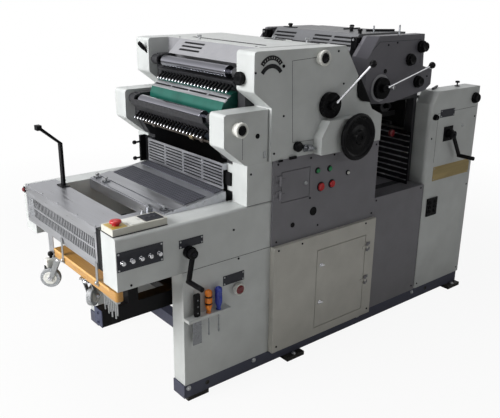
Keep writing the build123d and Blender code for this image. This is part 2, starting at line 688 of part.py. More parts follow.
ledge_z = RAIL_TOP + LEDGE_UP
board2_x = (DELIVERY_FRONT + BOARD2_FRONT, DELIVERY_END - BOARD2_EDGE)
delivery = prism(
    [
        (DELIVERY_FRONT, RAIL_TOP),
        (DELIVERY_FRONT, DELIVERY_TOP - CORNER_H),
        (DELIVERY_FRONT + CORNER_L, DELIVERY_TOP),
        (DELIVERY_END, DELIVERY_TOP),
        (DELIVERY_END, RAIL_TOP),
    ],
    0, COVER)
outer_face = delivery.faces().sort_by(Axis.Y)[0]
delivery = fillet(outer_face.edges().sort_by(Axis.X)[:2], CORNER_R)
delivery += block(*board2_x, COVER, COVER + LEDGE, ledge_z - LEDGE, ledge_z)
write("delivery_sides", *pair(delivery))
write("delivery_hood", block(
    DELIVERY_FRONT + HOOD_BACK, DELIVERY_END, COVER, WIDTH - COVER, hood_low, hood_top))
write("delivery_board", block(
    *board2_x, COVER + BOARD2_SIDE, WIDTH - COVER - BOARD2_SIDE, ledge_z, ledge_z + BOARD2_T))

# operator panels: dark control panel with an access door, light cabinet with a door
ACCESS_IN = 46.0         # access door behind the panel's front edge
ACCESS_UP = 198.0        # and above the seam
ACCESS_W = 174.0
ACCESS_H = 143.0
ACCESS_DEEP = 45.0
CABDOOR_END = 68.0       # cabinet door before the panel's back edge
CABDOOR_UP = 43.0        # and above the rail
CABDOOR_W = 345.0
CABDOOR_H = 415.0
CABINET_DEEP = 90.0
LEAF = 4.0
HINGE_R = 6.0
PIN_R = 3.0
HINGE_L = 44.0
HINGE_STAND = 2.0        # knuckle's edge to the door opening
HINGE_FLAP = 3.0
FLAP_L = 24.0
CAB_HINGES = (143.0, 327.0)
ACCESS_HINGES = (16.0, 84.0)

access = (
    PANEL_FRONT + ACCESS_IN, PANEL_FRONT + ACCESS_IN + ACCESS_W,
    SEAM + ACCESS_UP, SEAM + ACCESS_UP + ACCESS_H)
cab_end = PANEL_END - CABDOOR_END
cab_door = (
    cab_end - CABDOOR_W, cab_end, RAIL_TOP + CABDOOR_UP, RAIL_TOP + CABDOOR_UP + CABDOOR_H)
panel_face = -PANEL_PROUD
cab_face = -CABINET_PROUD


def recess(panel, opening, face, deep):
    """Cut the space behind a door leaf."""
    x0, x1, z0, z1 = opening
    return panel - block(x0, x1, face - 1, face + deep, z0, z1)


def leaf(opening, face):
    """A door leaf set into its opening, its outer face flush with the panel."""
    x0, x1, z0, z1 = opening
    return block(x0 + DOOR_GAP, x1 - DOOR_GAP, face, face + LEAF, z0 + DOOR_GAP, z1 - DOOR_GAP)


def knuckle(x_pin, x_flap, face, z0, z1):
    """A hinge barrel with its flap lying on the panel or the leaf."""
    flap = block(min(x_pin, x_flap), max(x_pin, x_flap), face - HINGE_FLAP, face, z0, z1)
    return bar_z(x_pin, face - HINGE_R, HINGE_R, z0, z1) + flap


def hinged(door, face, x_pin, way, heights, z_base):
    """Hang a leaf: pins in fixed outer knuckles, a bored knuckle on the leaf between them."""
    fixed = []
    third = HINGE_L / 3
    reach = FLAP_L + HINGE_R
    for h in heights:
        z = z_base + h
        stay = knuckle(x_pin, x_pin + way * FLAP_L, face, z, z + third)
        stay += knuckle(x_pin, x_pin + way * FLAP_L, face, z + 2 * third, z + HINGE_L)
        fixed.append(stay + bar_z(x_pin, face - HINGE_R, PIN_R, z, z + HINGE_L))
        turn = knuckle(x_pin, x_pin - way * reach, face, z + third + RUN, z + 2 * third - RUN)
        door += turn - bar_z(x_pin, face - HINGE_R, PIN_R + RUN, z, z + HINGE_L)
    return fixed, door


plain_panel = block(PANEL_FRONT, PANEL_END, panel_face, COVER, SEAM, WAIST)
plain_cabinet = block(PANEL_FRONT, PANEL_END, cab_face, COVER, RAIL_TOP, SEAM)
write("control_panels", recess(plain_panel, access, panel_face, ACCESS_DEEP), other_side(plain_panel))
write("cabinets", recess(plain_cabinet, cab_door, cab_face, CABINET_DEEP), other_side(plain_cabinet))
cab_pin = cab_door[1] + HINGE_R + HINGE_STAND
access_pin = access[0] - HINGE_R - HINGE_STAND
cab_fixed, cab_leaf = hinged(leaf(cab_door, cab_face), cab_face, cab_pin, 1, CAB_HINGES, cab_door[2])
access_fixed, access_leaf = hinged(
    leaf(access, panel_face), panel_face, access_pin, -1, ACCESS_HINGES, access[2])
write("door_hinges", *cab_fixed, *access_fixed)
write("cabinet_door", cab_leaf)
write("access_door", access_leaf)

# turning controls: each has a boss on its cover and an axle that runs in it
BOSS_R = 26.0
BOSS_T = 24.0
DISC1_R = 58.0           # disc behind the first lever
DISC2_R = 52.0
AXLE_R = 9.0
AXLE_IN = 12.0
BALL_R = 17.0
ROD_R = 5.0
HUB_R = 20.0
HUB_T = 18.0
HUB_GAP = 1.0
ARM_W = 18.0
ARM_T = 12.0
GRIP_R = 11.0
LEVER1_IN = 310.0        # first lever behind the panels' front
LEVER1_UP = 210.0        # and above the waist
LEVER1_REACH = 208.0
LEVER1_RISE = 173.0
LEVER2_IN = 145.0        # second lever behind the second head's front
LEVER2_UP = 79.0         # and above its underside
LEVER2_REACH = 315.0
LEVER2_RISE = 95.0
LEVER_OUT = 30.0         # each rod leans out from its cover
CRANK1_IN = 29.0         # feeder crank behind the leg's front
CRANK1_UP = 89.0         # and above the seam
CRANK1_L = 118.0
CRANK1_ANGLE = -101.0
CRANK2_IN = 171.0        # delivery crank behind the delivery's front
CRANK2_DOWN = 46.0       # and below the waist
CRANK2_L = 150.0
CRANK2_ANGLE = -59.0
GRIP = OVERHANG - BOSS_T - HUB_GAP - HUB_T
head_face = -HEAD_PROUD


def boss(x, z, face, r):
    """A round boss standing on a cover, bored for an axle."""
    body = bar_y(x, z, r, face - BOSS_T, face)
    return body - bar_y(x, z, AXLE_R + RUN, face - BOSS_T - 1, face - BOSS_T + AXLE_IN + RUN)


def hub(x, z, face):
    """The turning hub in front of a boss, with its axle."""
    y1 = face - BOSS_T - HUB_GAP
    return bar_y(x, z, HUB_R, y1 - HUB_T, y1) + bar_y(x, z, AXLE_R, y1 - 1, y1 + HUB_GAP + AXLE_IN)


def lever(x, z, face, reach, rise):
    """A hub, a rod that leans outwards and a ball."""
    y = face - BOSS_T - HUB_GAP - HUB_T / 2
    end = (x + reach, y - LEVER_OUT, z + rise)
    return hub(x, z, face) + rod((x, y, z), end, ROD_R) + Pos(*end) * Sphere(BALL_R)


def crank(x, z, face, length, angle):
    """A hub, a flat arm at an angle and a grip standing out from its end."""
    y1 = face - BOSS_T - HUB_GAP
    y0 = y1 - (HUB_T + ARM_T) / 2
    arm = block(0, length, y0, y0 + ARM_T, -ARM_W / 2, ARM_W / 2)
    arm += bar_y(length, 0, GRIP_R, y1 - HUB_T - GRIP, y0 + ARM_T)
    return hub(x, z, face) + at_angle((x, z), angle, arm)


LEVER1 = (PANEL_FRONT + LEVER1_IN, WAIST + LEVER1_UP)
LEVER2 = (unit2_x + LEVER2_IN, UNIT2_LOW + LEVER2_UP)
CRANK1 = (LEG_FRONT + CRANK1_IN, SEAM + CRANK1_UP)
CRANK2 = (DELIVERY_FRONT + CRANK2_IN, WAIST - CRANK2_DOWN)
write(
    "pivot_bosses",
    boss(*LEVER1, head_face, DISC1_R), boss(*LEVER2, UNIT2_RECESS, DISC2_R),
    boss(*CRANK1, 0, BOSS_R), boss(*CRANK2, 0, BOSS_R))
write("lever_first", lever(*LEVER1, head_face, LEVER1_REACH, LEVER1_RISE))
write("lever_second", lever(*LEVER2, UNIT2_RECESS, LEVER2_REACH, LEVER2_RISE))
write("feeder_crank", crank(*CRANK1, 0, CRANK1_L, CRANK1_ANGLE))
write("delivery_crank", crank(*CRANK2, 0, CRANK2_L, CRANK2_ANGLE))

# handwheel on its own bevelled housing
WHEEL_R = 109.0
WHEEL_T = 24.0
WHEEL_EDGE = 9.0
WHEEL_HUB_R = 30.0
WHEEL_HUB_OUT = 6.0
WHEEL_GAP = 12.0         # wheel's back to the housing
WHEEL_AXLE = 30.0
WHEEL_IN = 437.0         # wheel behind the panels' front
WHEEL_UP = 61.0          # and above the waist
HOUSE_IN = 228.0         # housing behind the panel's front edge
HOUSE_L = 300.0
HOUSE_H = 148.0
HOUSE_CUT_L = 45.0
HOUSE_CUT_H = 70.0
HOUSE_T = 52.0
wheel_axis = (PANEL_FRONT + WHEEL_IN, WAIST + WHEEL_UP)
house_face = head_face - HOUSE_T
house_x = PANEL_FRONT + HOUSE_IN
house = prism(
    [
        (house_x, WAIST),
        (house_x, WAIST + HOUSE_H - HOUSE_CUT_H),
        (house_x + HOUSE_CUT_L, WAIST + HOUSE_H),
        (house_x + HOUSE_L, WAIST + HOUSE_H),
        (house_x + HOUSE_L, WAIST),
    ],
    house_face, head_face)
house -= bar_y(*wheel_axis, AXLE_R + RUN, house_face - 1, house_face + WHEEL_AXLE + RUN)
write("wheel_housing", house)
wheel_back = house_face - WHEEL_GAP
wheel = bar_y(*wheel_axis, WHEEL_R, wheel_back - WHEEL_T, wheel_back)
wheel = fillet(wheel.edges().filter_by(GeomType.CIRCLE), WHEEL_EDGE)
wheel += bar_y(*wheel_axis, WHEEL_HUB_R, wheel_back - WHEEL_T - WHEEL_HUB_OUT, house_face - HUB_GAP)
wheel += bar_y(*wheel_axis, AXLE_R, house_face - HUB_GAP - 1, house_face + WHEEL_AXLE)
write("handwheel", wheel)

# pile: wooden board and its lifting truck, sliding on upright guides inside the legs
GUIDE_FRONT = 144.0      # guides behind the leg's front
GUIDE_W = 40.0
GUIDE_T = 15.0
BOARD_FAR = 315.0        # board's far end from the drive cover plane
BOARD_NEAR = 8.0         # front beam's near end from the operator plane
BEAM_W = 34.0
BEAM_H = 40.0
BEAM_R = 14.0            # rounded near end
DECK_T = 20.0
DECK_BACK = 230.0        # deck's back end
TRUCK_W = 60.0
TRUCK_H = 70.0
TRUCK_DROP = 80.0        # truck beams below the front beam
TRUCK_FORE = 10.0        # near truck beam before the front beam
TRUCK_IN = 55.0          # far truck beam inside the board's far end
FAR_FRONT = 20.0         # far truck beam's front end
TIES = (40.0, 160.0)     # cross ties between the truck beams
TIE_IN = 15.0            # ties lower and higher than the beams by this much
POST_L = 45.0
POST_FRONT = -180.0      # near front post under the deck
SHOE = 18.0
SHOE_H = 90.0

board_top = SEAM - SWING
board_low = board_top - BEAM_H
deck_low = board_top - DECK_T
board_far = WIDTH - BOARD_FAR
deck_near = FEED0 + SWING
beam = block(guard_x, guard_x + BEAM_W, BOARD_NEAR, board_far, board_low, board_top)
beam = fillet(beam.edges().filter_by(Axis.Z).sort_by(Axis.Y)[:2], BEAM_R)
board = beam + block(guard_x + BEAM_W, DECK_BACK, deck_near, board_far, deck_low, board_top)
board += block(DECK_BACK - BEAM_W, DECK_BACK, deck_near, board_far, board_low, deck_low)
write("pile_board", board)

guide_x = (LEG_FRONT + GUIDE_FRONT, LEG_FRONT + GUIDE_FRONT + GUIDE_W)
write("pile_guides", *pair(block(*guide_x, RAIL_W, RAIL_W + GUIDE_T, RAIL_TOP, SEAM)))

truck_top = board_low - TRUCK_DROP
truck_low = truck_top - TRUCK_H
far_beam = board_far - TRUCK_IN - TRUCK_W
truck = block(guard_x - TRUCK_FORE, DECK_BACK, deck_near, deck_near + TRUCK_W, truck_low, truck_top)
truck += block(FAR_FRONT, DECK_BACK, far_beam, far_beam + TRUCK_W, truck_low, truck_top)
for x in TIES:
    truck += block(x, x + TRUCK_W, deck_near, far_beam, truck_low + TIE_IN, truck_top - TIE_IN)
for x, y in ((POST_FRONT, deck_near), (FAR_FRONT, far_beam)):
    truck += block(x, x + POST_L, y, y + TRUCK_W, truck_top, deck_low)
for y in (deck_near, far_beam):
    truck += block(DECK_BACK - BEAM_W, DECK_BACK, y, y + TRUCK_W, truck_top, board_low)
shoe_x = (guide_x[0] - SHOE, guide_x[1] + SHOE)
shoe_z = (board_low - SHOE_H, board_low)
for y0, y1 in ((RAIL_W + SWING, deck_near), (far_beam, WIDTH - RAIL_W - SWING)):
    truck += block(*shoe_x, y0, y1, *shoe_z)
groove = block(
    guide_x[0] - RUN, guide_x[1] + RUN, RAIL_W, RAIL_W + GUIDE_T + RUN, shoe_z[0] - 1, shoe_z[1] + 1)
truck -= pair(groove)
write("pile_truck", truck)

# casters under the front beam, the near one swivelled inwards and the far one outwards
CASTER_R = 46.0
CASTER_W = 26.0
CASTER_EDGE = 5.0
CASTER_AXLE = 6.0
CASTER_DROP = 106.0      # axle below the beam
CASTER_TRAIL = 44.0
CASTER_PLATE = 6.0
CASTER_PAD = 48.0        # side of the square plate under the beam
CHEEK_T = 4.0
CHEEK_GAP = 3.0
CHEEK_TOP = 28.0         # fork cheek's width at the plate
CHEEK_END = 18.0         # and at the axle
CHEEK_PAST = 10.0        # cheek's end below the axle
CASTER_NEAR = 179.0      # near pivot from the deck's near edge
CASTER_FAR = 3.0         # far pivot from the board's far end
CASTER_TURNS = (217.0, -39.0)

axle_z = board_low - CASTER_DROP
pivot_x = guard_x + BEAM_W / 2
pivots = (deck_near + CASTER_NEAR, board_far - CASTER_FAR)
cheek = CASTER_W / 2 + CHEEK_GAP
fork_top = board_low - CASTER_PLATE
forks = []
for i, turn in enumerate(CASTER_TURNS):
    place = Pos(pivot_x, pivots[i], 0) * Rot(0, 0, turn)
    half = CASTER_PAD / 2
    fork = block(-half, half, -half, half, fork_top, board_low)
    for s in (-1, 1):
        y0 = s * (cheek + CHEEK_T / 2) - CHEEK_T / 2
        arm = [(-CHEEK_TOP / 2, fork_top), (CHEEK_TOP / 2, fork_top)]
        arm += [(-CASTER_TRAIL + CHEEK_END / 2, axle_z - CHEEK_PAST)]
        arm += [(-CASTER_TRAIL - CHEEK_END / 2, axle_z - CHEEK_PAST)]
        fork += prism(arm, y0, y0 + CHEEK_T)
    fork += bar_y(-CASTER_TRAIL, axle_z, CASTER_AXLE, -cheek - CHEEK_T, cheek + CHEEK_T)
    forks.append(place * fork)
    tyre = bar_y(-CASTER_TRAIL, axle_z, CASTER_R, -CASTER_W / 2, CASTER_W / 2)
    tyre = fillet(tyre.edges().filter_by(GeomType.CIRCLE), CASTER_EDGE)
    tyre -= bar_y(-CASTER_TRAIL, axle_z, CASTER_AXLE + RUN, -CASTER_W, CASTER_W)
    write(f"caster_wheel_{i + 1}", place * tyre)
write("caster_forks", *forks)

# control box with its stop button on the operator feeder box
BOX_FRONT = 2.0
BOX_L = 237.0
BOX_IN = 18.0
BOX_W = 92.0
BOX_H = 30.0
STOP_R = 19.0
STOP_H = 12.0            # height of its stem, and of its cap
STOP_BACK = 34.0         # button behind the box's front
STOP_IN = 39.0           # and from its outer side
box_x = FEED_FRONT + BOX_FRONT
box_top = FEED_TOP + BOX_H
write("control_box", block(box_x, box_x + BOX_L, BOX_IN, BOX_IN + BOX_W, FEED_TOP, box_top))
stop_at = (box_x + STOP_BACK, BOX_IN + STOP_IN)
stop = bar_z(*stop_at, STOP_R / 2, box_top, box_top + STOP_H)
stop += bar_z(*stop_at, STOP_R, box_top + STOP_H, box_top + 2 * STOP_H)
write("stop_button", stop)

# bent hold-down arm over the pile well, capped at its tip
ARM_FAR = 144.0          # arm's far face from the drive plane
ARM_BACK = 20.0          # arm before the back of the guard's top plate
ARM_FLAT = 26.0
ARM_BAR = 12.0
ARM_UP = 200.0
ARM_TIP = 90.0
ARM_RISE = 84.0
ARM_BEND = 4.0           # extra height of the bend's outside
ARM_END = (8.0, 10.0)    # the square-cut tip's run and fall
CAP = 22.0
CAP_OVER = 3.0           # cap past the arm's edges
arm_x = cover_back - ARM_BACK
arm_low = FEED_TOP + SHEET
arm_y = WIDTH - ARM_FAR
tip = (arm_x + ARM_BAR - ARM_TIP, arm_low + ARM_UP + ARM_RISE)
arm = prism(
    [
        (arm_x, arm_low),
        (arm_x + ARM_BAR, arm_low),
        (arm_x + ARM_BAR, arm_low + ARM_UP + ARM_BEND),
        tip,
        (tip[0] - ARM_END[0], tip[1] - ARM_END[1]),
        (arm_x, arm_low + ARM_UP),
    ],
    arm_y - ARM_FLAT, arm_y)
arm += block(
    tip[0] - CAP, tip[0], arm_y - ARM_FLAT - CAP_OVER, arm_y + CAP_OVER, tip[1] - CAP / 2, tip[1] + CAP / 2)
write("hold_arm", arm)

# tool rack on the feeder leg with an ink knife and two screwdrivers
RACK_DOWN = 219.0        # rack's underside below the seam
RACK_T = 14.0
RACK_L = 218.0
RACK_OUT = 40.0
TOOL_OUT = 22.0
TOOL_HOLE = 8.0
TOOLS = (52.0, 112.0, 164.0)
GRIP1_R = 13.0
GRIP1_L = 95.0
SHANK_R = 4.0
SHANK_L = 95.0
KNIFE_NECK = 12.0        # knife's shank below the rack
BLADE_W = 44.0
BLADE_T = 3.0
BLADE_L = 105.0
rack_low = SEAM - RACK_DOWN
rack_top = rack_low + RACK_T
tool_x = [LEG_FRONT + x for x in TOOLS]
rack = block(LEG_FRONT, LEG_FRONT + RACK_L, -RACK_OUT, 0, rack_low, rack_top)
for x in tool_x:
    rack -= bar_z(x, -TOOL_OUT, TOOL_HOLE, rack_low - 1, rack_top + 1)
write("tool_rack", rack)
neck_low = rack_low - KNIFE_NECK
knife = bar_z(tool_x[0], -TOOL_OUT, GRIP1_R, rack_top, rack_top + GRIP1_L)
knife += bar_z(tool_x[0], -TOOL_OUT, SHANK_R, neck_low, rack_top)
knife += block(
    tool_x[0] - BLADE_W / 2, tool_x[0] + BLADE_W / 2, -TOOL_OUT - BLADE_T / 2, -TOOL_OUT + BLADE_T / 2,
    neck_low - BLADE_L, neck_low)
write("ink_knife", knife)
drivers = []
for x in tool_x[1:]:
    driver = bar_z(x, -TOOL_OUT, GRIP1_R, rack_top, rack_top + GRIP1_L)
    drivers.append(driver + bar_z(x, -TOOL_OUT, SHANK_R, rack_low - SHANK_L, rack_top))
write("screwdrivers", *drivers)

# small controls: each row gives places from a named edge and level, then radius and length
CHROME = 5
CHROME_IN = 23.0         # first chrome knob behind the feeder's front
CHROME_STEP = 40.0
CHROME_UP = 119.0        # row above the seam
CHROME_R = 9.0
CHROME_L = 22.0
BUTTONS = ((266, 313, 11), (344, 310, 11), (469, 270, 11), (291, 232, 16), (363, 234, 16))
BUTTON_L = 10.0
KNOBS2 = ((440, 62, 30, 36), (358, 122, 30, 26), (432, 236, 30, 30))
DELIVERY_KNOB = (42, 63, 30, 26)
CORNER_KNOB = (38, 134, 12, 18)
HEAD_KNOB = (34, 50, 28, 24)
LOWER_COLLAR = (64, 63, 32, 40)
UPPER_COLLAR = (253, 43, 34, 28)
LEG_COLLAR = (280, 147, 20, 26)


def knob(x, z, r, length, face):
    """A round knob standing out from an operator-side face."""
    return bar_y(x, z, r, face - length, face)


write("chrome_knobs", *[
    knob(FEED_FRONT + CHROME_IN + CHROME_STEP * i, SEAM + CHROME_UP, CHROME_R, CHROME_L, 0)
    for i in range(CHROME)])
write("panel_buttons", *[
    knob(PANEL_FRONT + x, SEAM + z, r, BUTTON_L, panel_face) for x, z, r in BUTTONS])
black = [knob(unit2_x + x, UNIT2_TOP - z, r, length, UNIT2_RECESS) for x, z, r, length in KNOBS2]
x, z, r, length = DELIVERY_KNOB
black.append(knob(DELIVERY_END - x, DELIVERY_TOP - z, r, length, 0))
x, z, r, length = CORNER_KNOB
black.append(knob(DELIVERY_FRONT + x, DELIVERY_TOP - z, r, length, 0))
y, z, r, length = HEAD_KNOB
black.append(bar_x(COVER - y, HEAD_LOW + z, r, UPPER_FRONT - length, UPPER_FRONT))
write("black_knobs", *black)
x, z, r, length = LOWER_COLLAR
collars = [knob(LOWER_FRONT + x, LOWER_TOP - z, r, length, 0)]
x, z, r, length = UPPER_COLLAR
collars.append(knob(PANEL_FRONT + x, HEAD_TOP - z, r, length, head_face))
x, z, r, length = LEG_COLLAR
collars.append(knob(LEG_FRONT + x, SEAM - z, r, length, 0))
write("collar_knobs", *collars)
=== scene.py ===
from math import cos, hypot, pi, radians, sin

import bmesh
import bpy
from mathutils import Matrix, Vector


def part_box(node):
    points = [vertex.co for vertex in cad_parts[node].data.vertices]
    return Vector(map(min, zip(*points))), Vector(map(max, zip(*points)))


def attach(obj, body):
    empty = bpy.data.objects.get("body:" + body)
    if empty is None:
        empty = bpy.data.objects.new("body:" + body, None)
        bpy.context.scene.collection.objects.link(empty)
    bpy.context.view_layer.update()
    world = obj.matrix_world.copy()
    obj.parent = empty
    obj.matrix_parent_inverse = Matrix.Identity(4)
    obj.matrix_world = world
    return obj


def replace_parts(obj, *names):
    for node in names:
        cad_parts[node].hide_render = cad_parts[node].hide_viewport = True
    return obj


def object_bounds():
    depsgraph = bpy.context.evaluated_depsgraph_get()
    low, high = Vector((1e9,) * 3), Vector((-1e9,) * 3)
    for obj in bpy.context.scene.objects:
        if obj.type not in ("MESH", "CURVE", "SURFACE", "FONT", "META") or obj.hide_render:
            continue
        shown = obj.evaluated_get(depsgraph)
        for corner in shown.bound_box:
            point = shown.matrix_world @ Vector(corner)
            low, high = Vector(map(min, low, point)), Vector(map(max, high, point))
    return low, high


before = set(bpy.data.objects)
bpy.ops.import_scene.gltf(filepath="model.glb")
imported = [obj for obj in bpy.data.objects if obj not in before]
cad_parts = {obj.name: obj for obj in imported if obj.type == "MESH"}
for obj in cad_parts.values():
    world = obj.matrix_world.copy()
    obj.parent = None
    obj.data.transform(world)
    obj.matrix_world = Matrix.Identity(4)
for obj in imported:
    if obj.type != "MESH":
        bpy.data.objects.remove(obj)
cad_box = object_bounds()

# Base rails: two welded steel sections with cross members, sprayed in a blue-black stove enamel.
# Everything is bolted to them, so all places below are measured in millimetres from their front end,
# the operator side's cover plane and the floor.
rail_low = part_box("base_frame")[0]


def at(x, y, z):
    """A place behind the rails' front end, inside the operator cover plane, above the floor."""
    return Vector((rail_low.x + x / 1000, rail_low.y + y / 1000, z / 1000))


def linear(colour):
    """An sRGB hex colour as linear red, green, blue and alpha."""
    parts = [int(colour[i:i + 2], 16) / 255 for i in (1, 3, 5)]
    return [p / 12.92 if p <= 0.04045 else ((p + 0.055) / 1.055) ** 2.4 for p in parts] + [1.0]


def wire(node, values=None, links=None):
    """Set a node's input values and feed its inputs, from sockets or from nodes' first outputs."""
    for key, value in (values or {}).items():
        node.inputs[key].default_value = value
    for key, source in (links or {}).items():
        node.id_data.links.new(getattr(source, "outputs", [source])[0], node.inputs[key])


def add(tree, kind, settings=None, values=None, links=None):
    """One shader node with its settings, its input values and what feeds its inputs."""
    made = tree.nodes.new("ShaderNode" + kind)
    for key, value in (settings or {}).items():
        setattr(made, key, value)
    wire(made, values, links)
    return made


def surface(name):
    """An empty material with its shader, its output and Object coordinates."""
    material = bpy.data.materials.new(name)
    material.use_nodes = True
    tree = material.node_tree
    tree.nodes.clear()
    shader = add(tree, "BsdfPrincipled")
    add(tree, "OutputMaterial", links={"Surface": shader})
    place = add(tree, "TexCoord").outputs["Object"]
    return material, tree, shader, place


middle = {"From Min": 0.3, "From Max": 0.7}      # where most of a noise lies


def mottled(tree, place, colour, size_mm, detail, low, high):
    """Noise of a real size, and a colour that it makes a little darker and lighter."""
    noise = add(tree, "TexNoise", values={"Scale": 1000 / size_mm, "Detail": detail}, links={"Vector": place})
    shade = add(tree, "MapRange", values={**middle, "To Min": low, "To Max": high}, links={"Value": noise})
    toned = add(tree, "HueSaturation", values={"Color": linear(colour)}, links={"Value": shade})
    return noise, toned


def relief(tree, shader, height, strength, deep_mm, edge_mm):
    """Rounded edges with a fine relief over them; returns the rounded normal."""
    edge = add(tree, "Bevel", {"samples": 6}, {"Radius": edge_mm / 1000})
    bump = add(
        tree, "Bump", values={"Strength": strength, "Distance": deep_mm / 1000},
        links={"Height": height, "Normal": edge})
    wire(shader, links={"Normal": bump})
    return edge


def enamel(name, colour, worn, roughness, peel=0.12, shine=0.4):
    """Stove enamel on sheet: faint clouds, orange peel, edges rubbed thin and a dusty foot."""
    cloud_mm, scuff_mm, edge_mm = 110, 16, 3
    peel_mm = 2.4        # a real orange peel is about 1 mm: drawn coarser so that it shows
    dust_top, dust = 0.35, "#6d6a63"
    material, tree, shader, place = surface(name)
    toned = mottled(tree, place, colour, cloud_mm, 5.0, 0.92, 1.05)[1]
    skin = add(tree, "TexNoise", values={"Scale": 1000 / peel_mm, "Detail": 2.0}, links={"Vector": place})
    rounded = relief(tree, shader, skin, peel, 0.4, edge_mm)
    flat = add(tree, "NewGeometry")
    turn = add(
        tree, "VectorMath", {"operation": "DOT_PRODUCT"}, links={0: rounded, 1: flat.outputs["Normal"]})
    rub = add(
        tree, "MapRange", values={"From Min": 0.99, "From Max": 0.8, "To Min": 0.0, "To Max": 0.5},
        links={"Value": turn.outputs["Value"]})
    scuff = add(tree, "TexNoise", values={"Scale": 1000 / scuff_mm, "Detail": 3.0}, links={"Vector": place})
    patchy = add(tree, "Math", {"operation": "MULTIPLY"}, links={0: rub, 1: scuff})
    rubbed = add(tree, "Mix", {"data_type": "RGBA"}, {7: linear(worn)}, {0: patchy, 6: toned})
    height = add(tree, "SeparateXYZ", links={"Vector": place})
    foot = add(
        tree, "MapRange", values={"From Max": dust_top, "To Min": 0.22, "To Max": 0.0},
        links={"Value": height.outputs["Z"]})
    dusty = add(tree, "Mix", {"data_type": "RGBA"}, {7: linear(dust)}, {0: foot, 6: rubbed.outputs[2]})
    gloss = add(
        tree, "MapRange", values={**middle, "To Min": roughness * 0.85, "To Max": roughness * 1.2},
        links={"Value": scuff})
    wire(shader, {"Specular IOR Level": shine}, {"Base Color": dusty.outputs[2], "Roughness": gloss})
    return material


def dress(material, *nodes):
    """Give CAD nodes a finish."""
    for name in nodes:
        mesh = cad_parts[name].data
        mesh.materials.clear()
        mesh.materials.append(material)


base_enamel = enamel("blue_black_stove_enamel", "#363a50", "#676a78", 0.4, shine=0.25)
dress(base_enamel, "base_frame")

# Rail bolts: zinc-plated hexagon screws with washers through the rail's outer web, and the round
# holes beside them that take a lifting bar.
outward, up = (0, -1, 0), (0, 0, 1)    # from a cover towards the operator, and from a floor


def rod_matrix(foot, axis):
    """Turn the z axis of a shape to an axis and move it to a place."""
    return Matrix.Translation(at(*foot)) @ Vector(axis).to_track_quat("Z", "Y").to_matrix().to_4x4()


def lathe(bm, foot, axis, profile, steps=24):
    """Spin a profile of (radius, distance along the axis) round an axis from its foot; an open end is
    closed square to the axis."""
    on_axis, weld = 0.001, 0.000005
    points = list(profile)
    if points[0] != points[-1]:
        (r0, h0), (r1, h1) = points[0], points[-1]
        points = [(0, h0)] * (r0 > on_axis) + points + [(0, h1)] * (r1 > on_axis)
    before = set(bm.faces)
    turn = rod_matrix(foot, axis)
    verts = [bm.verts.new(turn @ Vector((r / 1000, 0, h / 1000))) for r, h in points]
    edges = [bm.edges.new(ends) for ends in zip(verts, verts[1:])]
    bmesh.ops.spin(
        bm, geom=verts + edges, cent=at(*foot), axis=turn.to_3x3() @ Vector(up), dvec=(0, 0, 0),
        angle=2 * pi, steps=steps, use_merge=True)
    made = [f for f in bm.faces if f not in before]
    corners = list(set(v for f in made for v in f.verts))
    bmesh.ops.remove_doubles(bm, verts=corners, dist=weld)
    return [f for f in bm.faces if f not in before]


def plate(bm, low, high, edge=0.0):
    """A rectangular plate between two corners, all edges bevelled."""
    made = bmesh.ops.create_cube(bm, size=1.0)
    bmesh.ops.scale(bm, verts=made["verts"], vec=at(*high) - at(*low))
    bmesh.ops.translate(bm, verts=made["verts"], vec=(at(*low) + at(*high)) / 2)
    if edge:
        rim = list(set(e for v in made["verts"] for e in v.link_edges))
        bmesh.ops.bevel(
            bm, geom=rim, offset=edge / 1000, affect="EDGES", segments=2, profile=0.5, material=-1)


def rod(radius, length):
    """The lathe's profile for a plain rod or disc."""
    return [(radius, 0), (radius, length)]


def hexagon_screw(bm, foot, axis, radius):
    """A washer and a hexagon head with a turned-down top."""
    washer = 2
    top = washer + radius * 0.8
    lathe(bm, foot, axis, rod(radius * 1.5, washer), 16)
    lathe(bm, foot, axis, [(radius, washer), (radius, washer + radius * 0.7), (radius * 0.85, top)], 6)


def piece(name, bm, material, body="machine"):
    """Close a bmesh into an object at the origin that rides on a body."""
    bmesh.ops.recalc_face_normals(bm, faces=bm.faces)
    mesh = bpy.data.meshes.new(name)
    bm.to_mesh(mesh)
    bm.free()
    mesh.materials.append(material)
    made = bpy.data.objects.new(name, mesh)
    bpy.context.collection.objects.link(made)
    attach(made, body)
    return made


def formed(name, shapes, material, body="machine"):
    """A piece that is a list of shapes, each a function and what it's given."""
    bm = bmesh.new()
    for shape, *given in shapes:
        shape(bm, *given)
    return piece(name, bm, material, body)


def bright_metal(name, colour, roughness, grain=None, depth=0.15):
    """Bare metal, with turning or brushing lines drawn out along one axis where grain is given."""
    line_mm = 11         # a real brushing line is under 1 mm: drawn coarser so that it shows
    material, tree, shader, place = surface(name)
    stretch = add(tree, "Mapping", values={"Scale": grain or (1.0, 1.0, 1.0)}, links={"Vector": place})
    lines, toned = mottled(tree, stretch, colour, line_mm, 4.0, 0.88, 1.06)
    gloss = add(
        tree, "MapRange", values={**middle, "To Min": roughness * 0.75, "To Max": roughness * 1.3},
        links={"Value": lines})
    relief(tree, shader, lines, depth, 0.3, 1.5)
    wire(shader, {"Metallic": 1.0}, {"Base Color": toned, "Roughness": gloss})
    return material


across = (1.0, 0.06, 1.0)        # lines drawn out across the press
zinc = bright_metal("zinc_plated_steel", "#a9abad", 0.35)
formed("rail_bolts", [(hexagon_screw, (x, 0, 66), outward, 8) for x in (23, 388, 1100, 1560)], zinc)

black_enamel = enamel("black_stove_enamel", "#151517", "#38383b", 0.36, shine=0.1)
formed("rail_hole_bushes", [
    (lathe, (x, 0.3, 55), outward, [(11, 0), (11, 1.2), (9, 1.6), (6, 0.6), (0, 0.5)], 18)
    for x in (123, 1690)],
    black_enamel)

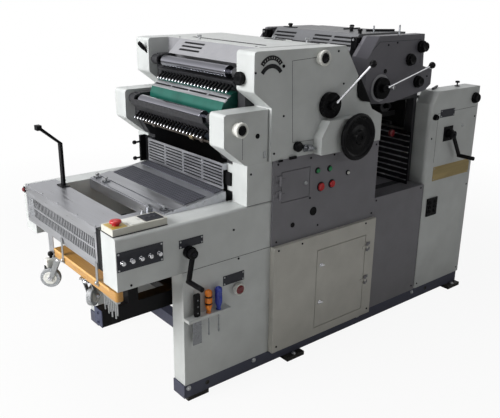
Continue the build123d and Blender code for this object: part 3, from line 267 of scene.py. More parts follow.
# Floor pads: black-painted steel plates on which the rails stand, each held by a hexagon bolt
# with a washer where the pad shows past the cover.
dress(black_enamel, "floor_pads")
pad_low, pad_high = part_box("floor_pads")
pad_edge, pad_in, middle_x = 16, 55, 630
pad_first = (pad_low.y - rail_low.y) * 1000 + pad_edge
pad_last = (pad_high.y - rail_low.y) * 1000 - pad_edge
formed("pad_bolts", [
    (hexagon_screw, (x, y, pad_high.z * 1000), up, 8)
    for x in (middle_x, (pad_high.x - rail_low.x) * 1000 - pad_in)
    for y in (pad_first, pad_last)], zinc)

# Feeder legs and side boxes: bent sheet steel in light grey stove enamel, welded into boxes and screwed
# to the rails; the same finish is on the body fronts, heads, wheel housing and delivery.
light_enamel = enamel("light_grey_stove_enamel", "#c1c4c3", "#8f908e", 0.34)
dress(
    light_enamel, "feeder_legs", "feeder_sides", "body_sides", "lower_heads", "upper_heads", "delivery_sides",
    "delivery_hood", "wheel_housing")

# Cover screws: blackened socket-head screws that hold the covers to the frame, each with a socket
# sunk in its domed head.
oxide = bright_metal("black_oxide_steel", "#26262a", 0.45)
head_face, panel_face, cabinet_face, unit2_face = -15, -10, -30, 40
far_cover, far_head, inward = 900, 915, (0, 1, 0)


def socket_screw(bm, foot, axis, radius):
    """A domed head with a round socket."""
    lathe(
        bm, foot, axis,
        [(radius * 0.45, 1.2), (radius * 0.45, 3.0), (radius * 0.8, 3.0), (radius, 1.8), (radius, 0)], 12)


cover_screws = bmesh.new()
screw_r = 5
for way, face, places in (
        (outward, 0, ((-229, 632), (267, 746), (294, 607), (357, 974))),
        (outward, head_face, ((362, 1396), (519, 1206), (832, 1458), (876, 1313), (470, 1050), (1100, 1040))),
        (outward, panel_face, (
            (500, 996), (696, 996), (847, 989), (700, 806), (1140, 996), (500, 636),
            (758, 661), (1140, 640))),
        (outward, cabinet_face, ((645, 600), (1081, 603), (500, 600), (1135, 110), (500, 110))),
        (outward, unit2_face, ((1234, 1462), (1300, 1470), (1430, 1300), (1560, 1290))),
        (outward, 0, (
            (1184, 695), (1550, 695), (1184, 110), (1550, 110),
            (1600, 960), (1985, 1040), (1985, 110), (1600, 110), (1985, 640))),
        (inward, far_cover, (
            (-229, 632), (267, 746), (294, 607), (357, 974), (1184, 695), (1550, 695),
            (1600, 960), (1985, 640))),
        (inward, far_head, ((519, 1206), (832, 1440), (876, 1313), (470, 1050), (1100, 1040)))):
    for x, z in places:
        socket_screw(cover_screws, (x, face, z), way, screw_r)
piece("cover_screws", cover_screws, oxide)

# Cover seams: painted shadow lines where one folded cover laps the next, drawn as narrow black gap strips
# let onto the sheet.


def prism(bm, section, y, depth):
    """Draw an (x, z) outline from y along the press's width; returns the drawn corners."""
    outline = bm.faces.new([bm.verts.new(at(x, y, z)) for x, z in section])
    made = bmesh.ops.extrude_face_region(bm, geom=[outline])
    drawn = [v for v in made["geom"] if isinstance(v, bmesh.types.BMVert)]
    bmesh.ops.translate(bm, verts=drawn, vec=(0, depth / 1000, 0))
    return drawn


seam_w, seam_t = 1.6, 0.5
# Painted shadow: each strip is black to stand for the shade in a cover's lap.
seams = bmesh.new()
for x0, z0, x1, z1, face in (
        (559, 1432, 575, 1085, head_face), (575, 1085, 745, 1077, head_face),
        (559, 1432, 704, 1439, head_face),
        (311, 1205, 311, 1044, 0), (6, 617, 475, 617, 0), (337, 834, 475, 834, 0),
        (1120, 1440, 1170, 1478, unit2_face), (1170, 1478, 1480, 1478, unit2_face),
        (1480, 1478, 1492, 1360, unit2_face), (1640, 1090, 1640, 820, 0), (1640, 1090, 1985, 1097, 0),
        (1158, 100, 1158, 705, 0), (1574, 100, 1574, 705, 0)):
    length = hypot(x1 - x0, z1 - z0)
    nx, nz = (z1 - z0) / length * seam_w / 2, -(x1 - x0) / length * seam_w / 2
    prism(
        seams, ((x0 + nx, z0 + nz), (x1 + nx, z1 + nz), (x1 - nx, z1 - nz), (x0 - nx, z0 - nz)),
        face, -seam_t)
piece("cover_seam_shadows", seams, oxide)

# Knob plate and label plates: thin anodised sheets, black and bare, riveted to the feeder's side box
# behind the row of knobs and over the crank, beside the leg's collar knob and on the delivery.


def sheet_black(name, colour, roughness):
    """Black anodised sheet: an even film with a faint rolled grain along the paper's way."""
    grain_mm = 3
    material, tree, shader, place = surface(name)
    along = add(tree, "Mapping", values={"Scale": (0.05, 1.0, 1.0)}, links={"Vector": place})
    toned = mottled(tree, along, colour, grain_mm, 3.0, 0.8, 1.2)[1]
    wire(shader, {"Roughness": roughness, "Metallic": 0.4}, {"Base Color": toned})
    return material


plate_t = 2


def corner_rivets(bm, x0, x1, z0, z1, inset):
    """A domed rivet in each corner of a thin plate on the cover plane."""
    for x in (x0 + inset, x1 - inset):
        for z in (z0 + inset, z1 - inset):
            lathe(bm, (x, -plate_t, z), outward, [(3, 2), (4, 1), (4, 0)], 10)


anodised = sheet_black("black_anodised_sheet", "#2b2c33", 0.42)
label_plates, rivets = bmesh.new(), bmesh.new()
for x0, x1, z0, z1 in (
        (-284, -83, 698, 778), (-9, 108, 726, 762), (210, 325, 500, 545), (1658, 1784, 1066, 1108)):
    plate(label_plates, (x0, -plate_t, z0), (x1, 0, z1), 0.6)
    corner_rivets(rivets, x0, x1, z0, z1, 7)
piece("label_plates", label_plates, anodised)
piece("label_plate_rivets", rivets, zinc)

# Row of air and register knobs: turned brass plated with chrome, a knurled cap on a slim neck,
# screwed into valves behind the plate.
chrome = bright_metal("hard_chrome_plate", "#d4d5d9", 0.12, across, 0.05)


def fluted(bm, foot, axis, profile, steps, flute, depth):
    """A turned shape whose side is cut with flutes along the axis."""
    made = lathe(bm, foot, axis, profile, steps)
    bmesh.ops.recalc_face_normals(bm, faces=made)
    way = Vector(axis).normalized()
    sides = [f for f in made if abs(f.normal.dot(way)) < 0.2]
    bmesh.ops.inset_individual(bm, faces=sides, thickness=flute / 1000, depth=-depth / 1000)


knob_low, knob_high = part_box("chrome_knobs")
knob_count, knob_r = 5, 9
knob_z = (knob_low.z + knob_high.z) * 500
knob_first = (knob_low.x - rail_low.x) * 1000 + knob_r
knob_last = (knob_high.x - rail_low.x) * 1000 - knob_r
knobs = bmesh.new()
for i in range(knob_count):
    x = knob_first + (knob_last - knob_first) * i / (knob_count - 1)
    lathe(knobs, (x, -2, knob_z), outward, [(8, 0), (8, 2), (4, 3), (4, 9)], 16)
    fluted(
        knobs, (x, -10, knob_z), outward,
        [(6, 0), (knob_r, 2), (knob_r, 9), (7, 11.5), (3, 12), (0, 11)], 18, 0.5, 0.6)
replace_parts(piece("turned_feeder_knobs", knobs, chrome), "chrome_knobs")

# Collar knobs: turned aluminium rings lacquered white, with a fluted skirt and a moulded plastic face,
# black on the lower and upper heads' knobs and dark red on the small one on the leg.


def moulded(name, colour, roughness, grit_mm=2.8, shine=0.5):
    """Moulded plastic with a fine sparked texture and slight hand polish."""
    hand_mm = 33
    material, tree, shader, place = surface(name)
    hands, toned = mottled(tree, place, colour, hand_mm, 3.0, 0.92, 1.06)
    polish = add(
        tree, "MapRange", values={**middle, "To Min": roughness * 0.8, "To Max": roughness * 1.25},
        links={"Value": hands})
    grain = add(tree, "TexNoise", values={"Scale": 1000 / grit_mm, "Detail": 2.0}, links={"Vector": place})
    relief(tree, shader, grain, 0.15, 0.2, 1.5)
    wire(shader, {"Specular IOR Level": shine}, {"Base Color": toned, "Roughness": polish})
    return material


white_lacquer = moulded("white_lacquered_aluminium", "#dcdcd6", 0.3)
black_plastic = moulded("black_moulded_plastic", "#0e0e10", 0.24, shine=0.1)
collars, collar_faces = bmesh.new(), bmesh.new()
for x, z, r, face, length in ((280, 1177, 32, 0, 40), (728, 1436, 34, head_face, 28)):
    fluted(
        collars, (x, face, z), outward,
        [(r * 0.86, 0), (r * 0.86, length * 0.55), (r, length * 0.6), (r, length - 3), (r - 3, length),
         (r * 0.72, length), (r * 0.68, length - 5)], 32, 0.5, 0.5)
    lathe(
        collar_faces, (x, face - length + 5, z), outward,
        [(r * 0.64, 0), (r * 0.64, 2.5), (r * 0.5, 4.0), (r * 0.2, 3.2)], 28)
leg_x, leg_z, leg_r, leg_length = 286, 470, 28, 26
fluted(
    collars, (leg_x, 0, leg_z), outward,
    [(leg_r * 0.8, 0), (leg_r * 0.8, 8), (leg_r, 10), (leg_r, leg_length - 3), (leg_r - 3, leg_length),
     (leg_r * 0.8, leg_length), (leg_r * 0.76, leg_length - 3)], 28, 0.5, 0.7)
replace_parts(piece("lacquered_collar_knobs", collars, white_lacquer), "collar_knobs")
piece("collar_knob_faces", collar_faces, black_plastic)
red_face = moulded("dark_red_moulded_plastic", "#6d1a20", 0.28)
formed("leg_knob_face", [
    (lathe, (leg_x, 3 - leg_length, leg_z), outward,
     [(leg_r * 0.72, 0), (leg_r * 0.72, 1.5), (leg_r * 0.5, 2.6), (0, 2.8)], 24)], red_face)

# Guards and the feed table: bare stainless sheet, brushed across the press. The feeder guard is bent
# over the pile well and screwed down along its ends; the bulkhead behind its slots is painted black as shade.
stainless = bright_metal("brushed_stainless_steel", "#b9babf", 0.36, across, 0.06)
dress(stainless, "slotted_guards", "feed_table")
# Painted shade: the bulkhead is black so that the guard's slots show dark.
dress(black_enamel, "feeder_bulkhead")
guard_top, ahead = 837, (-1, 0, 0)    # ahead: towards the feeder's end
formed("guard_screws", [
    *[(socket_screw, (-283, y, guard_top), up, 4) for y in (165, 330, 520, 690, 850)],
    *[(socket_screw, (-290, y, z), ahead, 4) for z in (680, 815) for y in (156, 859)]], zinc)

# Pile clips: two folded zinc strips hung on the guard's lower edge that keep the pile's front square,
# each bent back on itself at the bottom round a small thumb screw.
clips = bmesh.new()
for y0, y1, z0, z1 in ((150, 168, 588, 690), (478, 495, 573, 690)):
    plate(clips, (-294.5, y0, z0), (-291.2, y1, z1), 0.8)
    lathe(clips, (-294.5, (y0 + y1) / 2, z0 + 14), ahead, [(7, 0), (8, 2), (8, 7), (5, 9)], 14)
piece("pile_front_clips", clips, zinc)

# Feeder lamp: a dark red moulded cap in a black plastic bezel, screwed into the far side box's front
# beside the guard.
lamp_x, lamp_y, lamp_z, bezel_t = -287, 885, 808, 3
formed("feeder_lamp_bezel", [
    (lathe, (lamp_x, lamp_y, lamp_z), ahead, [(15, 0), (15, 3), (12, 5), (11, 3)], 24)],
    black_plastic)
formed("feeder_lamp_cap", [
    (lathe, (lamp_x - bezel_t, lamp_y, lamp_z), ahead,
     [(10.5, 0), (10.5, 4), (8, 8), (4, 10), (0, 10.5)], 24)],
    red_face)

# Control box: a pressed steel pan in cream lacquer on a dark gasket, with a yellow plate under the
# stop button, a bare white plate and a black membrane panel on its lid.
cream_lacquer = enamel("cream_lacquered_steel", "#c9c8be", "#98968a", 0.32)
dress(cream_lacquer, "control_box")
rubber_black = moulded("black_sponge_rubber", "#1b1b1c", 0.7, 4.0)
formed("control_box_gasket", [(plate, (-286.5, 16.5, 834), (-46.5, 111.5, 838), 0.8)], rubber_black)
yellow_lacquer = moulded("yellow_lacquered_plate", "#b89c48", 0.34)
box_top = 864
for name, x0, x1, y1, material in (
        ("stop_button_plate", -282, -218, 96, yellow_lacquer),
        ("control_box_white_plate", -204, -142, 104, white_lacquer)):
    formed(name, [(plate, (x0, 24, box_top), (x1, y1, box_top + 2), 0.7)], material)
formed("control_box_membrane", [
    (plate, (-136, 28, box_top), (-56, 100, box_top + 2.5), 0.7),
    *[(lathe, (x, 64, box_top + 2.5), up, [(8, 0), (7.4, 1.6), (0, 2)], 18) for x in (-118, -96, -74)]],
    anodised)

# Stop button: a red moulded mushroom cap with a grip ring under its rim, on a stem screwed into the
# box's lid and turned to release.
stop_plastic = moulded("red_moulded_plastic", "#b3161a", 0.25)
stop_low, stop_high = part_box("stop_button")
stop_x = (stop_low.x + stop_high.x) / 2 - rail_low.x
stop_y = (stop_low.y + stop_high.y) / 2 - rail_low.y
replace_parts(formed("stop_button_cap", [
    (lathe, (stop_x * 1000, stop_y * 1000, box_top), up,
     [(14, 0), (14, 5), (11, 6), (11, 10), (20, 11), (23.5, 13), (23.5, 18),
      (21, 22), (13, 24.5), (0, 25)], 32)],
    stop_plastic), "stop_button")

# Feed table mats: dark rubber-faced sheets punched with rows of small holes and laid along the paper's
# way between bright steel bars; dust greys them.


def clouded(tree, place, size_mm, detail, dark, light, twist=0.0):
    """Noise of a real size, and the two colours that it mixes."""
    noise = add(
        tree, "TexNoise", values={"Scale": 1000 / size_mm, "Detail": detail, "Distortion": twist},
        links={"Vector": place})
    toned = add(tree, "Mix", {"data_type": "RGBA"}, {6: linear(dark), 7: linear(light)}, {0: noise})
    return noise, toned.outputs[2]


mat_rubber, tree, shader, place = surface("punched_rubber_sheet")
hole_mm = 15                     # the real holes are about 6 mm apart: drawn coarser so that they show
cells = add(
    tree, "TexVoronoi", {"feature": "F1", "voronoi_dimensions": "2D"},
    {"Scale": 1000 / hole_mm, "Randomness": 0.0}, {"Vector": place})
hole = add(tree, "MapRange", values={"From Min": 0.22, "From Max": 0.34}, links={"Value": cells})
dust_mm = 40
toned = clouded(tree, place, dust_mm, 4.0, "#393a42", "#54555d")[1]
punched = add(tree, "Mix", {"data_type": "RGBA"}, {6: linear("#121214")}, {0: hole, 7: toned})
bump = add(tree, "Bump", values={"Strength": 0.5, "Distance": 0.001}, links={"Height": hole})
wire(
    shader, {"Roughness": 0.6, "Specular IOR Level": 0.2}, {"Base Color": punched.outputs[2], "Normal": bump})
dress(mat_rubber, "feed_mats")

# Table fittings: side-lay blocks of ground steel clamped with zinc-plated thumb screws at both ends of the
# front bar, and a turned post beside the control box that the pile's near side lay slides on.
ground_steel = bright_metal("ground_steel", "#84868a", 0.3, across)
lay_top = 852
lays, thumb_screws = bmesh.new(), bmesh.new()
for y in (150, 660, 748):
    plate(lays, (4, y - 13, 841), (34, y + 13, lay_top), 1.2)
    lathe(thumb_screws, (19, y, lay_top), up, rod(4, 6), 12)
    fluted(thumb_screws, (19, y, lay_top + 6), up, [(8, 0), (9, 1), (9, 7), (7, 9)], 16, 0.4, 0.6)
plate(lays, (0, 120, 846), (300, 128, 849), 0.8)
lathe(lays, (-34, 180, guard_top), up, [(15, 0), (15, 22), (12, 26), (6, 27), (6, 34)], 24)
piece("side_lay_blocks", lays, ground_steel)
lathe(thumb_screws, (-60, 190, guard_top), up, [(9, 0), (9, 4), (5, 5), (5, 12), (0, 13)], 16)
piece("side_lay_thumb_screws", thumb_screws, zinc)

# Hold-down arm over the pile well: flat black bar bent by hand, with a cap on its tip, set in a foot
# plate on the guard's top.
dress(black_enamel, "hold_arm")
arm_foot = bmesh.new()
foot_t = 4
plate(arm_foot, (-176, 712, guard_top), (-136, 774, guard_top + foot_t), 1)
for y in (720, 766):
    socket_screw(arm_foot, (-156, y, guard_top + foot_t), up, 4)
piece("hold_arm_foot", arm_foot, black_enamel)

# Pile board: varnished softwood planks on a front beam with a rounded end; growth rings are drawn out
# along the planks. The truck below is black-painted steel.


def varnished_wood(name, dark, light, roughness):
    """Varnished softwood, its rings drawn out across the press."""
    ring_mm = 14
    material, tree, shader, place = surface(name)
    along = add(tree, "Mapping", values={"Scale": (1.0, 0.08, 1.0)}, links={"Vector": place})
    rings, toned = clouded(tree, along, ring_mm, 6.0, dark, light, 1.2)
    relief(tree, shader, rings, 0.2, 0.6, 2)
    wire(shader, {"Roughness": roughness}, {"Base Color": toned})
    return material


varnished = varnished_wood("varnished_softwood", "#96652a", "#c99a50", 0.28)
dress(varnished, "pile_board", "delivery_board")
dress(black_enamel, "pile_truck", "pile_guides")
lip_wood = varnished_wood("varnished_beech_lip", "#c08a42", "#dcb673", 0.26)
formed("pile_board_lip", [(plate, (-292, 60, 600), (-289.5, 584, 612), 0.6)], lip_wood, "pile_body")

# Pile comb: a row of zinc strips of uneven length hung under the beam's near end, which mesh with the
# floor truck's slots, on a bar screwed to the beam.
comb_top, tooth_step, tooth_w = 563, 15, 7
comb = bmesh.new()
plate(comb, (-288, 12, 562), (-272, 130, 571), 0.8)
for i, drop in enumerate((52, 70, 44, 75, 58, 72, 40, 66)):
    y = 14 + i * tooth_step
    plate(comb, (-286, y, comb_top - drop), (-282, y + tooth_w, comb_top), 0.7)
piece("pile_comb", comb, zinc, "pile_body")
formed("truck_beam_end", [
    (plate, (-304, 119, 419), (-300, 183, 493), 0.8),
    *[(hexagon_screw, (-304, 151, z), ahead, 5) for z in (436, 476)]], base_enamel, "pile_body")

# Casters: translucent grey polyurethane wheels in pressed steel forks, each with a hub cap, a pivot
# nut and on the far one a white brake housing with a black pedal.
caster_plastic = moulded("grey_polyurethane", "#b4b7ba", 0.3)
wire(caster_plastic.node_tree.nodes["Principled BSDF"], {"Transmission Weight": 0.35})
dress(caster_plastic, "caster_wheel_1", "caster_wheel_2")
dress(zinc, "caster_forks")
pivot_x, axle_z, trail = -273, 465, 44
for number, pivot_y, turn in ((1, 300, 217), (2, 582, -39)):
    c, s = cos(radians(turn)), sin(radians(turn))
    hub_x, hub_y = pivot_x - trail * c, pivot_y - trail * s
    caps = bmesh.new()
    for side in (-1, 1):
        foot = (hub_x - s * 13 * side, hub_y + c * 13 * side, axle_z)
        lathe(
            caps, foot, (-s * side, c * side, 0),
            [(6.8, -1), (30, -1), (30, 0.6), (26, 1.6), (14, 1.0), (12, 2.4), (6.8, 2.4), (6.8, -1)], 28)
    piece(f"caster_hub_caps_{number}", caps, white_lacquer, f"caster_wheel_{number}_body")
    nuts = bmesh.new()
    for side in (-1, 1):
        foot = (hub_x - s * 20 * side, hub_y + c * 20 * side, axle_z)
        hexagon_screw(nuts, foot, (-s * side, c * side, 0), 7)
    lathe(nuts, (pivot_x, pivot_y, 559), (0, 0, -1), [(20, 0), (22, 3), (22, 9), (16, 11)], 24)
    piece(f"caster_nuts_{number}", nuts, chrome, "pile_body")
formed("caster_brake_housing", [
    (plate, (-322, 606, 512), (-268, 640, 552), 5)], white_lacquer, "pile_body")
formed("caster_brake_pedal", [
    (lathe, (-294, 622, 552), up, [(7, 0), (7, 10), (13, 13), (13, 24), (9, 29), (0, 30)], 20),
    (plate, (-325, 612, 470), (-321, 634, 520), 1.5)], black_plastic, "pile_body")

# Tool rack and tools on the feeder leg: a folded light grey tray, an ink knife with a riveted black
# handle, and two screwdrivers with fluted moulded grips, orange and blue.
dress(light_enamel, "tool_rack")
tool_y, grip_low, grip_high, rack_low = -22, 412, 518, 398
knife_x, first_x, second_x = 58, 118, 170
formed("ink_knife_handle", [
    (plate, (knife_x - 15, tool_y - 8, grip_low), (knife_x + 15, tool_y + 8, grip_high), 6)],
    black_plastic)
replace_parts(formed("ink_knife_blade", [
    (plate, (knife_x - 7, tool_y - 2, rack_low - 14), (knife_x + 7, tool_y + 2, grip_low + 2), 0.6),
    (plate, (knife_x - 22, tool_y - 1.5, rack_low - 117), (knife_x + 22, tool_y + 1.5, rack_low - 12), 0.7),
    *[(lathe, (knife_x, tool_y - 8, z), outward, [(3.5, 0), (3, 1), (0, 1.2)], 12) for z in (430, 460, 490)]],
    ground_steel), "ink_knife")
grip = [
    (11, 0), (11, 4), (9, 8), (10, 14), (15.5, 32), (16, 55), (15, 80), (16, 94), (13.5, 102), (7, 106)]
orange_plastic = moulded("orange_moulded_plastic", "#e5801c", 0.24)
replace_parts(formed("screwdriver_grip_orange", [
    (fluted, (first_x, tool_y, grip_low), up, grip, 12, 1.2, 0.9)],
    orange_plastic), "screwdrivers")
formed("screwdriver_grip_bands", [
    (lathe, (first_x, tool_y, z), up, [(13, 0), (16.4, 1), (16.4, 7), (13, 8), (13, 0)], 24)
    for z in (452, 484)],
    black_plastic)
blue_plastic = moulded("blue_moulded_plastic", "#2438a0", 0.24)
formed("screwdriver_grip_blue", [
    (fluted, (second_x, tool_y, grip_low), up, grip, 12, 1.2, 0.9)], blue_plastic)
formed("screwdriver_shanks", [
    (lathe, (x, tool_y, grip_low + 2), (0, 0, -1),
     [(3.2, 0), (3.2, 92), (4, 96), (4, 104), (1.2, 111)], 14)
    for x in (first_x, second_x)], ground_steel)

# Feeder crank and delivery crank: black-enamelled flat arms with turned grips on bored bosses; a
# square black plate lies behind the delivery's hub.
dress(black_enamel, "feeder_crank", "delivery_crank")
formed("delivery_crank_plate", [
    (plate, (1704, -3, 930), (1786, 0, 1012), 1.2),
    *[(socket_screw, (x, -3, z), outward, 4) for x in (1713, 1777) for z in (939, 1003)]],
    black_enamel)
for name, x, z in (("feeder_crank", 35, 706), ("delivery_crank", 1745, 971)):
    formed(f"{name}_nut", [
        (lathe, (x, -43, z), outward, [(9, 0), (9, 4), (7, 6), (0, 6.5)], 6)],
        oxide, f"{name}_body")

# Cast side frames: iron castings left rough under a black-brown coat, bored for the rollers; the ducts
# have the same coat. The register shaft between them is ink-stained steel with a turned brass sleeve.
cast_coat = enamel("coated_cast_iron", "#2a2a2d", "#46464a", 0.5, peel=0.5)
dress(cast_coat, "side_frames", "ink_ducts")
shaft_steel = bright_metal("ink_stained_steel", "#5d5752", 0.4, across)
dress(shaft_steel, "register_shaft")
brass = bright_metal("turned_brass", "#a99c80", 0.3)
formed("register_shaft_sleeve", [
    (lathe, (291, 318, 1085), inward,
     [(7.1, 0), (13, 0), (14.5, 1.5), (14.5, 24), (11, 26), (11, 32), (7.1, 32), (7.1, 0)], 24)],
    brass)
inner_y, inner_long = 151, 598   # between the frames
formed("lower_duct_apron", [
    (prism, ((224.5, 1178), (221.5, 1178), (214, 1206), (217, 1207)), inner_y, inner_long)],
    cast_coat)

# Main body's fittings: a black magnet catch on the near front, and on the far front a black plate and
# a bracket with two thumb pins that hold the louvred guard.
formed("guard_catches", [
    (plate, (325, 104, 903), (337, 136, 961), 1.5),
    (plate, (303, 826, 866), (337, 838, 1000), 1.5),
    (plate, (333, 765, 866), (337, 825, 1000), 1.0),
    *[(lathe, (306, 832, z), ahead, [(5, 0), (5, 26), (10, 28), (10, 38), (7, 42)], 18) for z in (884, 966)]],
    black_enamel)

# Louvred guards: stainless sheets with rows of slots, one over the feed table with a black sheet behind it
# as painted shade in its slots, one before the delivery painted dark as shade but for its slots' bare lips.
guard_steel_painted_shade = bright_metal("stainless_steel_painted_shade", "#b9babf", 0.36, across, 0.06)
tree = guard_steel_painted_shade.node_tree
shader = tree.nodes["Principled BSDF"]
clean = shader.inputs["Base Color"].links[0].from_socket
place = next(n for n in tree.nodes if n.type == "TEX_COORD").outputs["Object"]
# Painted shade: past 1000 mm along the press the guard's colour is mixed to near black, standing in for the
# shade in the opening behind it.
along = add(tree, "SeparateXYZ", links={"Vector": place})
shade_from_x = 1000
beyond = add(
    tree, "Math", {"operation": "GREATER_THAN"}, {1: at(shade_from_x, 0, 0).x}, {0: along.outputs["X"]})
painted_shade_mix = add(tree, "Mix", {"data_type": "RGBA"}, {7: linear("#232327")}, {0: beyond, 6: clean})
wire(shader, links={"Base Color": painted_shade_mix.outputs[2]})
dress(guard_steel_painted_shade, "louvred_guards")
# Painted shade: a black sheet close behind the front guard's slots, so that they show dark.
slot_shade_sheet = bmesh.new()
back_x0, back_x1, back_low = 316.3, 317.5, 884
plate(slot_shade_sheet, (back_x0, inner_y, back_low), (back_x1, 749, 996), 0.2)
for y in (139, 749.5):
    plate(slot_shade_sheet, (back_x0, y, back_low), (back_x1, y + 11.5, 966), 0.2)
piece("louvre_slot_shade_sheet", slot_shade_sheet, black_enamel)
# The lips of the delivery guard's slots are bare stainless, left out of the painted shade.
lips = bmesh.new()
lip_rows, lip_first, lip_pitch, lip_long, lip_high = 9, 729.7, 30.44, 246, 6
for i in range(lip_rows):
    z = lip_first + lip_pitch * i
    for y in (67, 327, 587):
        plate(lips, (1497, y, z), (1500, y + lip_long, z + lip_high), 0.8)
piece("delivery_guard_lips", lips, stainless)

# Ink rollers and cylinders: hard chrome over ground steel under a film of ink, a printing plate with its
# green coating stretched round the cylinder, and a blanket of rubber-faced cloth below it.
roller_chrome = bright_metal("inked_chrome_plate", "#a3a3ac", 0.13, across, 0.04)
rollers = (("ink_roller_upper", 392, 1377), ("ink_roller_lower", 258, 1198))
roller_r, journal_r, journal_long = 28, 10, 44
barrel_end = inner_long - journal_long
for name, x, z in rollers:
    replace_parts(formed(f"{name}_barrel", [
        (lathe, (x, inner_y, z), inward,
         [(journal_r, 0), (journal_r, journal_long), (roller_r - 1, journal_long),
         (roller_r, journal_long + 1), (roller_r, barrel_end - 1), (roller_r - 1, barrel_end),
         (journal_r, barrel_end), (journal_r, inner_long)], 48)],
        roller_chrome, f"{name}_body"), name)
plate_coat, tree, shader, place = surface("coated_printing_plate")
wash_mm = 70
toned = clouded(tree, place, wash_mm, 4.0, "#124a40", "#236c5f")[1]
wire(shader, {"Roughness": 0.32, "Metallic": 0.3}, {"Base Color": toned})
dress(plate_coat, "plate_cylinder")
clamp_steel = bright_metal("ground_clamp_steel", "#c6c7cb", 0.4, across, 0.03)
dress(clamp_steel, "plate_clamp")
# Painted shade: black strips set in the clamp's slots so that they show dark.
clamp_angle, clamp_axis, slot_shade_low, slot_shade_high, slot_shade_half = radians(130), (405, 1209), 77.2, 80.2, 4.4
slot_count, slot_first, slot_step, slot_long = 4, 156, 149.5, 139.5
section = []
for r, s in ((slot_shade_low, -slot_shade_half), (slot_shade_high, -slot_shade_half), (slot_shade_high, slot_shade_half), (slot_shade_low, slot_shade_half)):
    section.append((
        clamp_axis[0] + r * cos(clamp_angle) + s * sin(clamp_angle),
        clamp_axis[1] + r * sin(clamp_angle) - s * cos(clamp_angle)))
formed("plate_clamp_slot_shade_strips", [
    (prism, section, slot_first + slot_step * i, slot_long) for i in range(slot_count)],
    black_enamel, "plate_cylinder_body")
blanket_rubber, tree, shader, place = surface("printing_blanket_rubber")
weave_mm = 16
toned = clouded(tree, place, weave_mm, 3.0, "#262b33", "#39404b")[1]
wire(shader, {"Roughness": 0.55}, {"Base Color": toned})
dress(blanket_rubber, "blanket_cylinder")

# Ink keys: a slim black screw for each ink zone, square on the duct's sloped face, with a collar at
# its foot, a fluted stem and a bright turned tip.
duct_gap, duct_high, duct_toe, duct_heel = 7, 38, 14, 18
key_count, key_first, key_last, key_long = 22, 175, 725, 36
key_slope = Vector((-duct_high, 0, -(duct_toe + duct_heel))).normalized()
key_bodies, key_tips = bmesh.new(), bmesh.new()
for name, roller_x, roller_z in rollers:
    root_x = roller_x + (duct_toe - duct_heel) / 2
    root_z = roller_z - roller_r - duct_gap - duct_high / 2
    for i in range(key_count):
        y = key_first + (key_last - key_first) * i / (key_count - 1)
        lathe(
            key_bodies, (root_x, y, root_z), key_slope,
            [(8, -2), (8, 6), (5.5, 8), (5.5, 26), (7.5, 28), (7.5, key_long)], 8)
        tip = Vector((root_x, y, root_z)) + key_slope * key_long
        lathe(key_tips, tip, key_slope, [(4.2, 0), (4.2, 7), (3, 9)], 8)
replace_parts(piece("ink_key_stems", key_bodies, black_plastic), "ink_keys")
piece("ink_key_tips", key_tips, chrome)

# First unit's heads: on the upper cover an arched scale window in black glass, on the lower one a
# plugged hole and a zinc latch, on the far cover's front a black handle.
window_glass = sheet_black("black_scale_glass", "#17181b", 0.18)
scale = bmesh.new()
scale_x, scale_z, glass_t = 446, 1392, 2
arc_half = radians(58)
for centre_z, inner, outer in ((scale_z, 50, 69), (1360, 50, 67)):
    centre = at(scale_x, head_face, centre_z)
    start = Matrix.Rotation(-arc_half, 4, "Y")
    ring = []
    for r, y in ((inner, 0), (outer, 0), (outer, -glass_t), (inner, -glass_t)):
        ring.append(scale.verts.new(centre + start @ Vector((0, y / 1000, r / 1000))))
    loop = [scale.edges.new((ring[i], ring[(i + 1) % 4])) for i in range(4)]
    bmesh.ops.spin(
        scale, geom=ring + loop, cent=centre, axis=inward, dvec=(0, 0, 0), angle=2 * arc_half, steps=20)
bmesh.ops.holes_fill(scale, edges=[e for e in scale.edges if e.is_boundary], sides=4)
piece("ink_scale_windows", scale, window_glass)
marks = bmesh.new()
mark_count, mark_low, mark_long = 9, 55, 8
for i in range(mark_count):
    angle = arc_half * 0.85 * (2 * i / (mark_count - 1) - 1)
    inner = Vector((scale_x + mark_low * sin(angle), head_face - glass_t, scale_z + mark_low * cos(angle)))
    lathe(marks, inner, (sin(angle), 0, cos(angle)), rod(0.7, mark_long), 6)
piece("ink_scale_marks", marks, white_lacquer)
plugs = bmesh.new()
plug = [(11, 0), (11, 2), (9, 3), (0, 2.2)]
lathe(plugs, (390, 0, 1134), outward, plug, 20)
lathe(plugs, (511, head_face, 1414), outward, [(7, 0), (7, 3), (5, 4)], 14)
lathe(plugs, (1224, unit2_face, 1338), outward, plug, 20)
for x, z, r in ((725, 737, 21), (597, 697, 12)):
    lathe(plugs, (x, panel_face, z), outward, [(r, 0), (r, 2), (r - 3, 3), (r - 4, 1)], 28)
lathe(plugs, (1606, 0, 1073), outward, rod(13, 1), 20)
piece("cover_plugs", plugs, black_plastic)
formed("lower_head_latches", [
    (plate, (421, -5, 1034), (436, 0, 1064), 1.5),
    (lathe, (428, -5, 1042), outward, [(4, 0), (4, 3), (0, 4)], 12),
    (plate, (421, 900, 1034), (436, 905, 1064), 1.5)], zinc)
formed("far_head_handle", [
    (lathe, (356, 818, 1412), (-0.62, 0.2, 0.76),
     [(6, -4), (6, 12), (9, 16), (11, 34), (10, 54), (7, 60), (0, 61)], 18)], black_plastic)

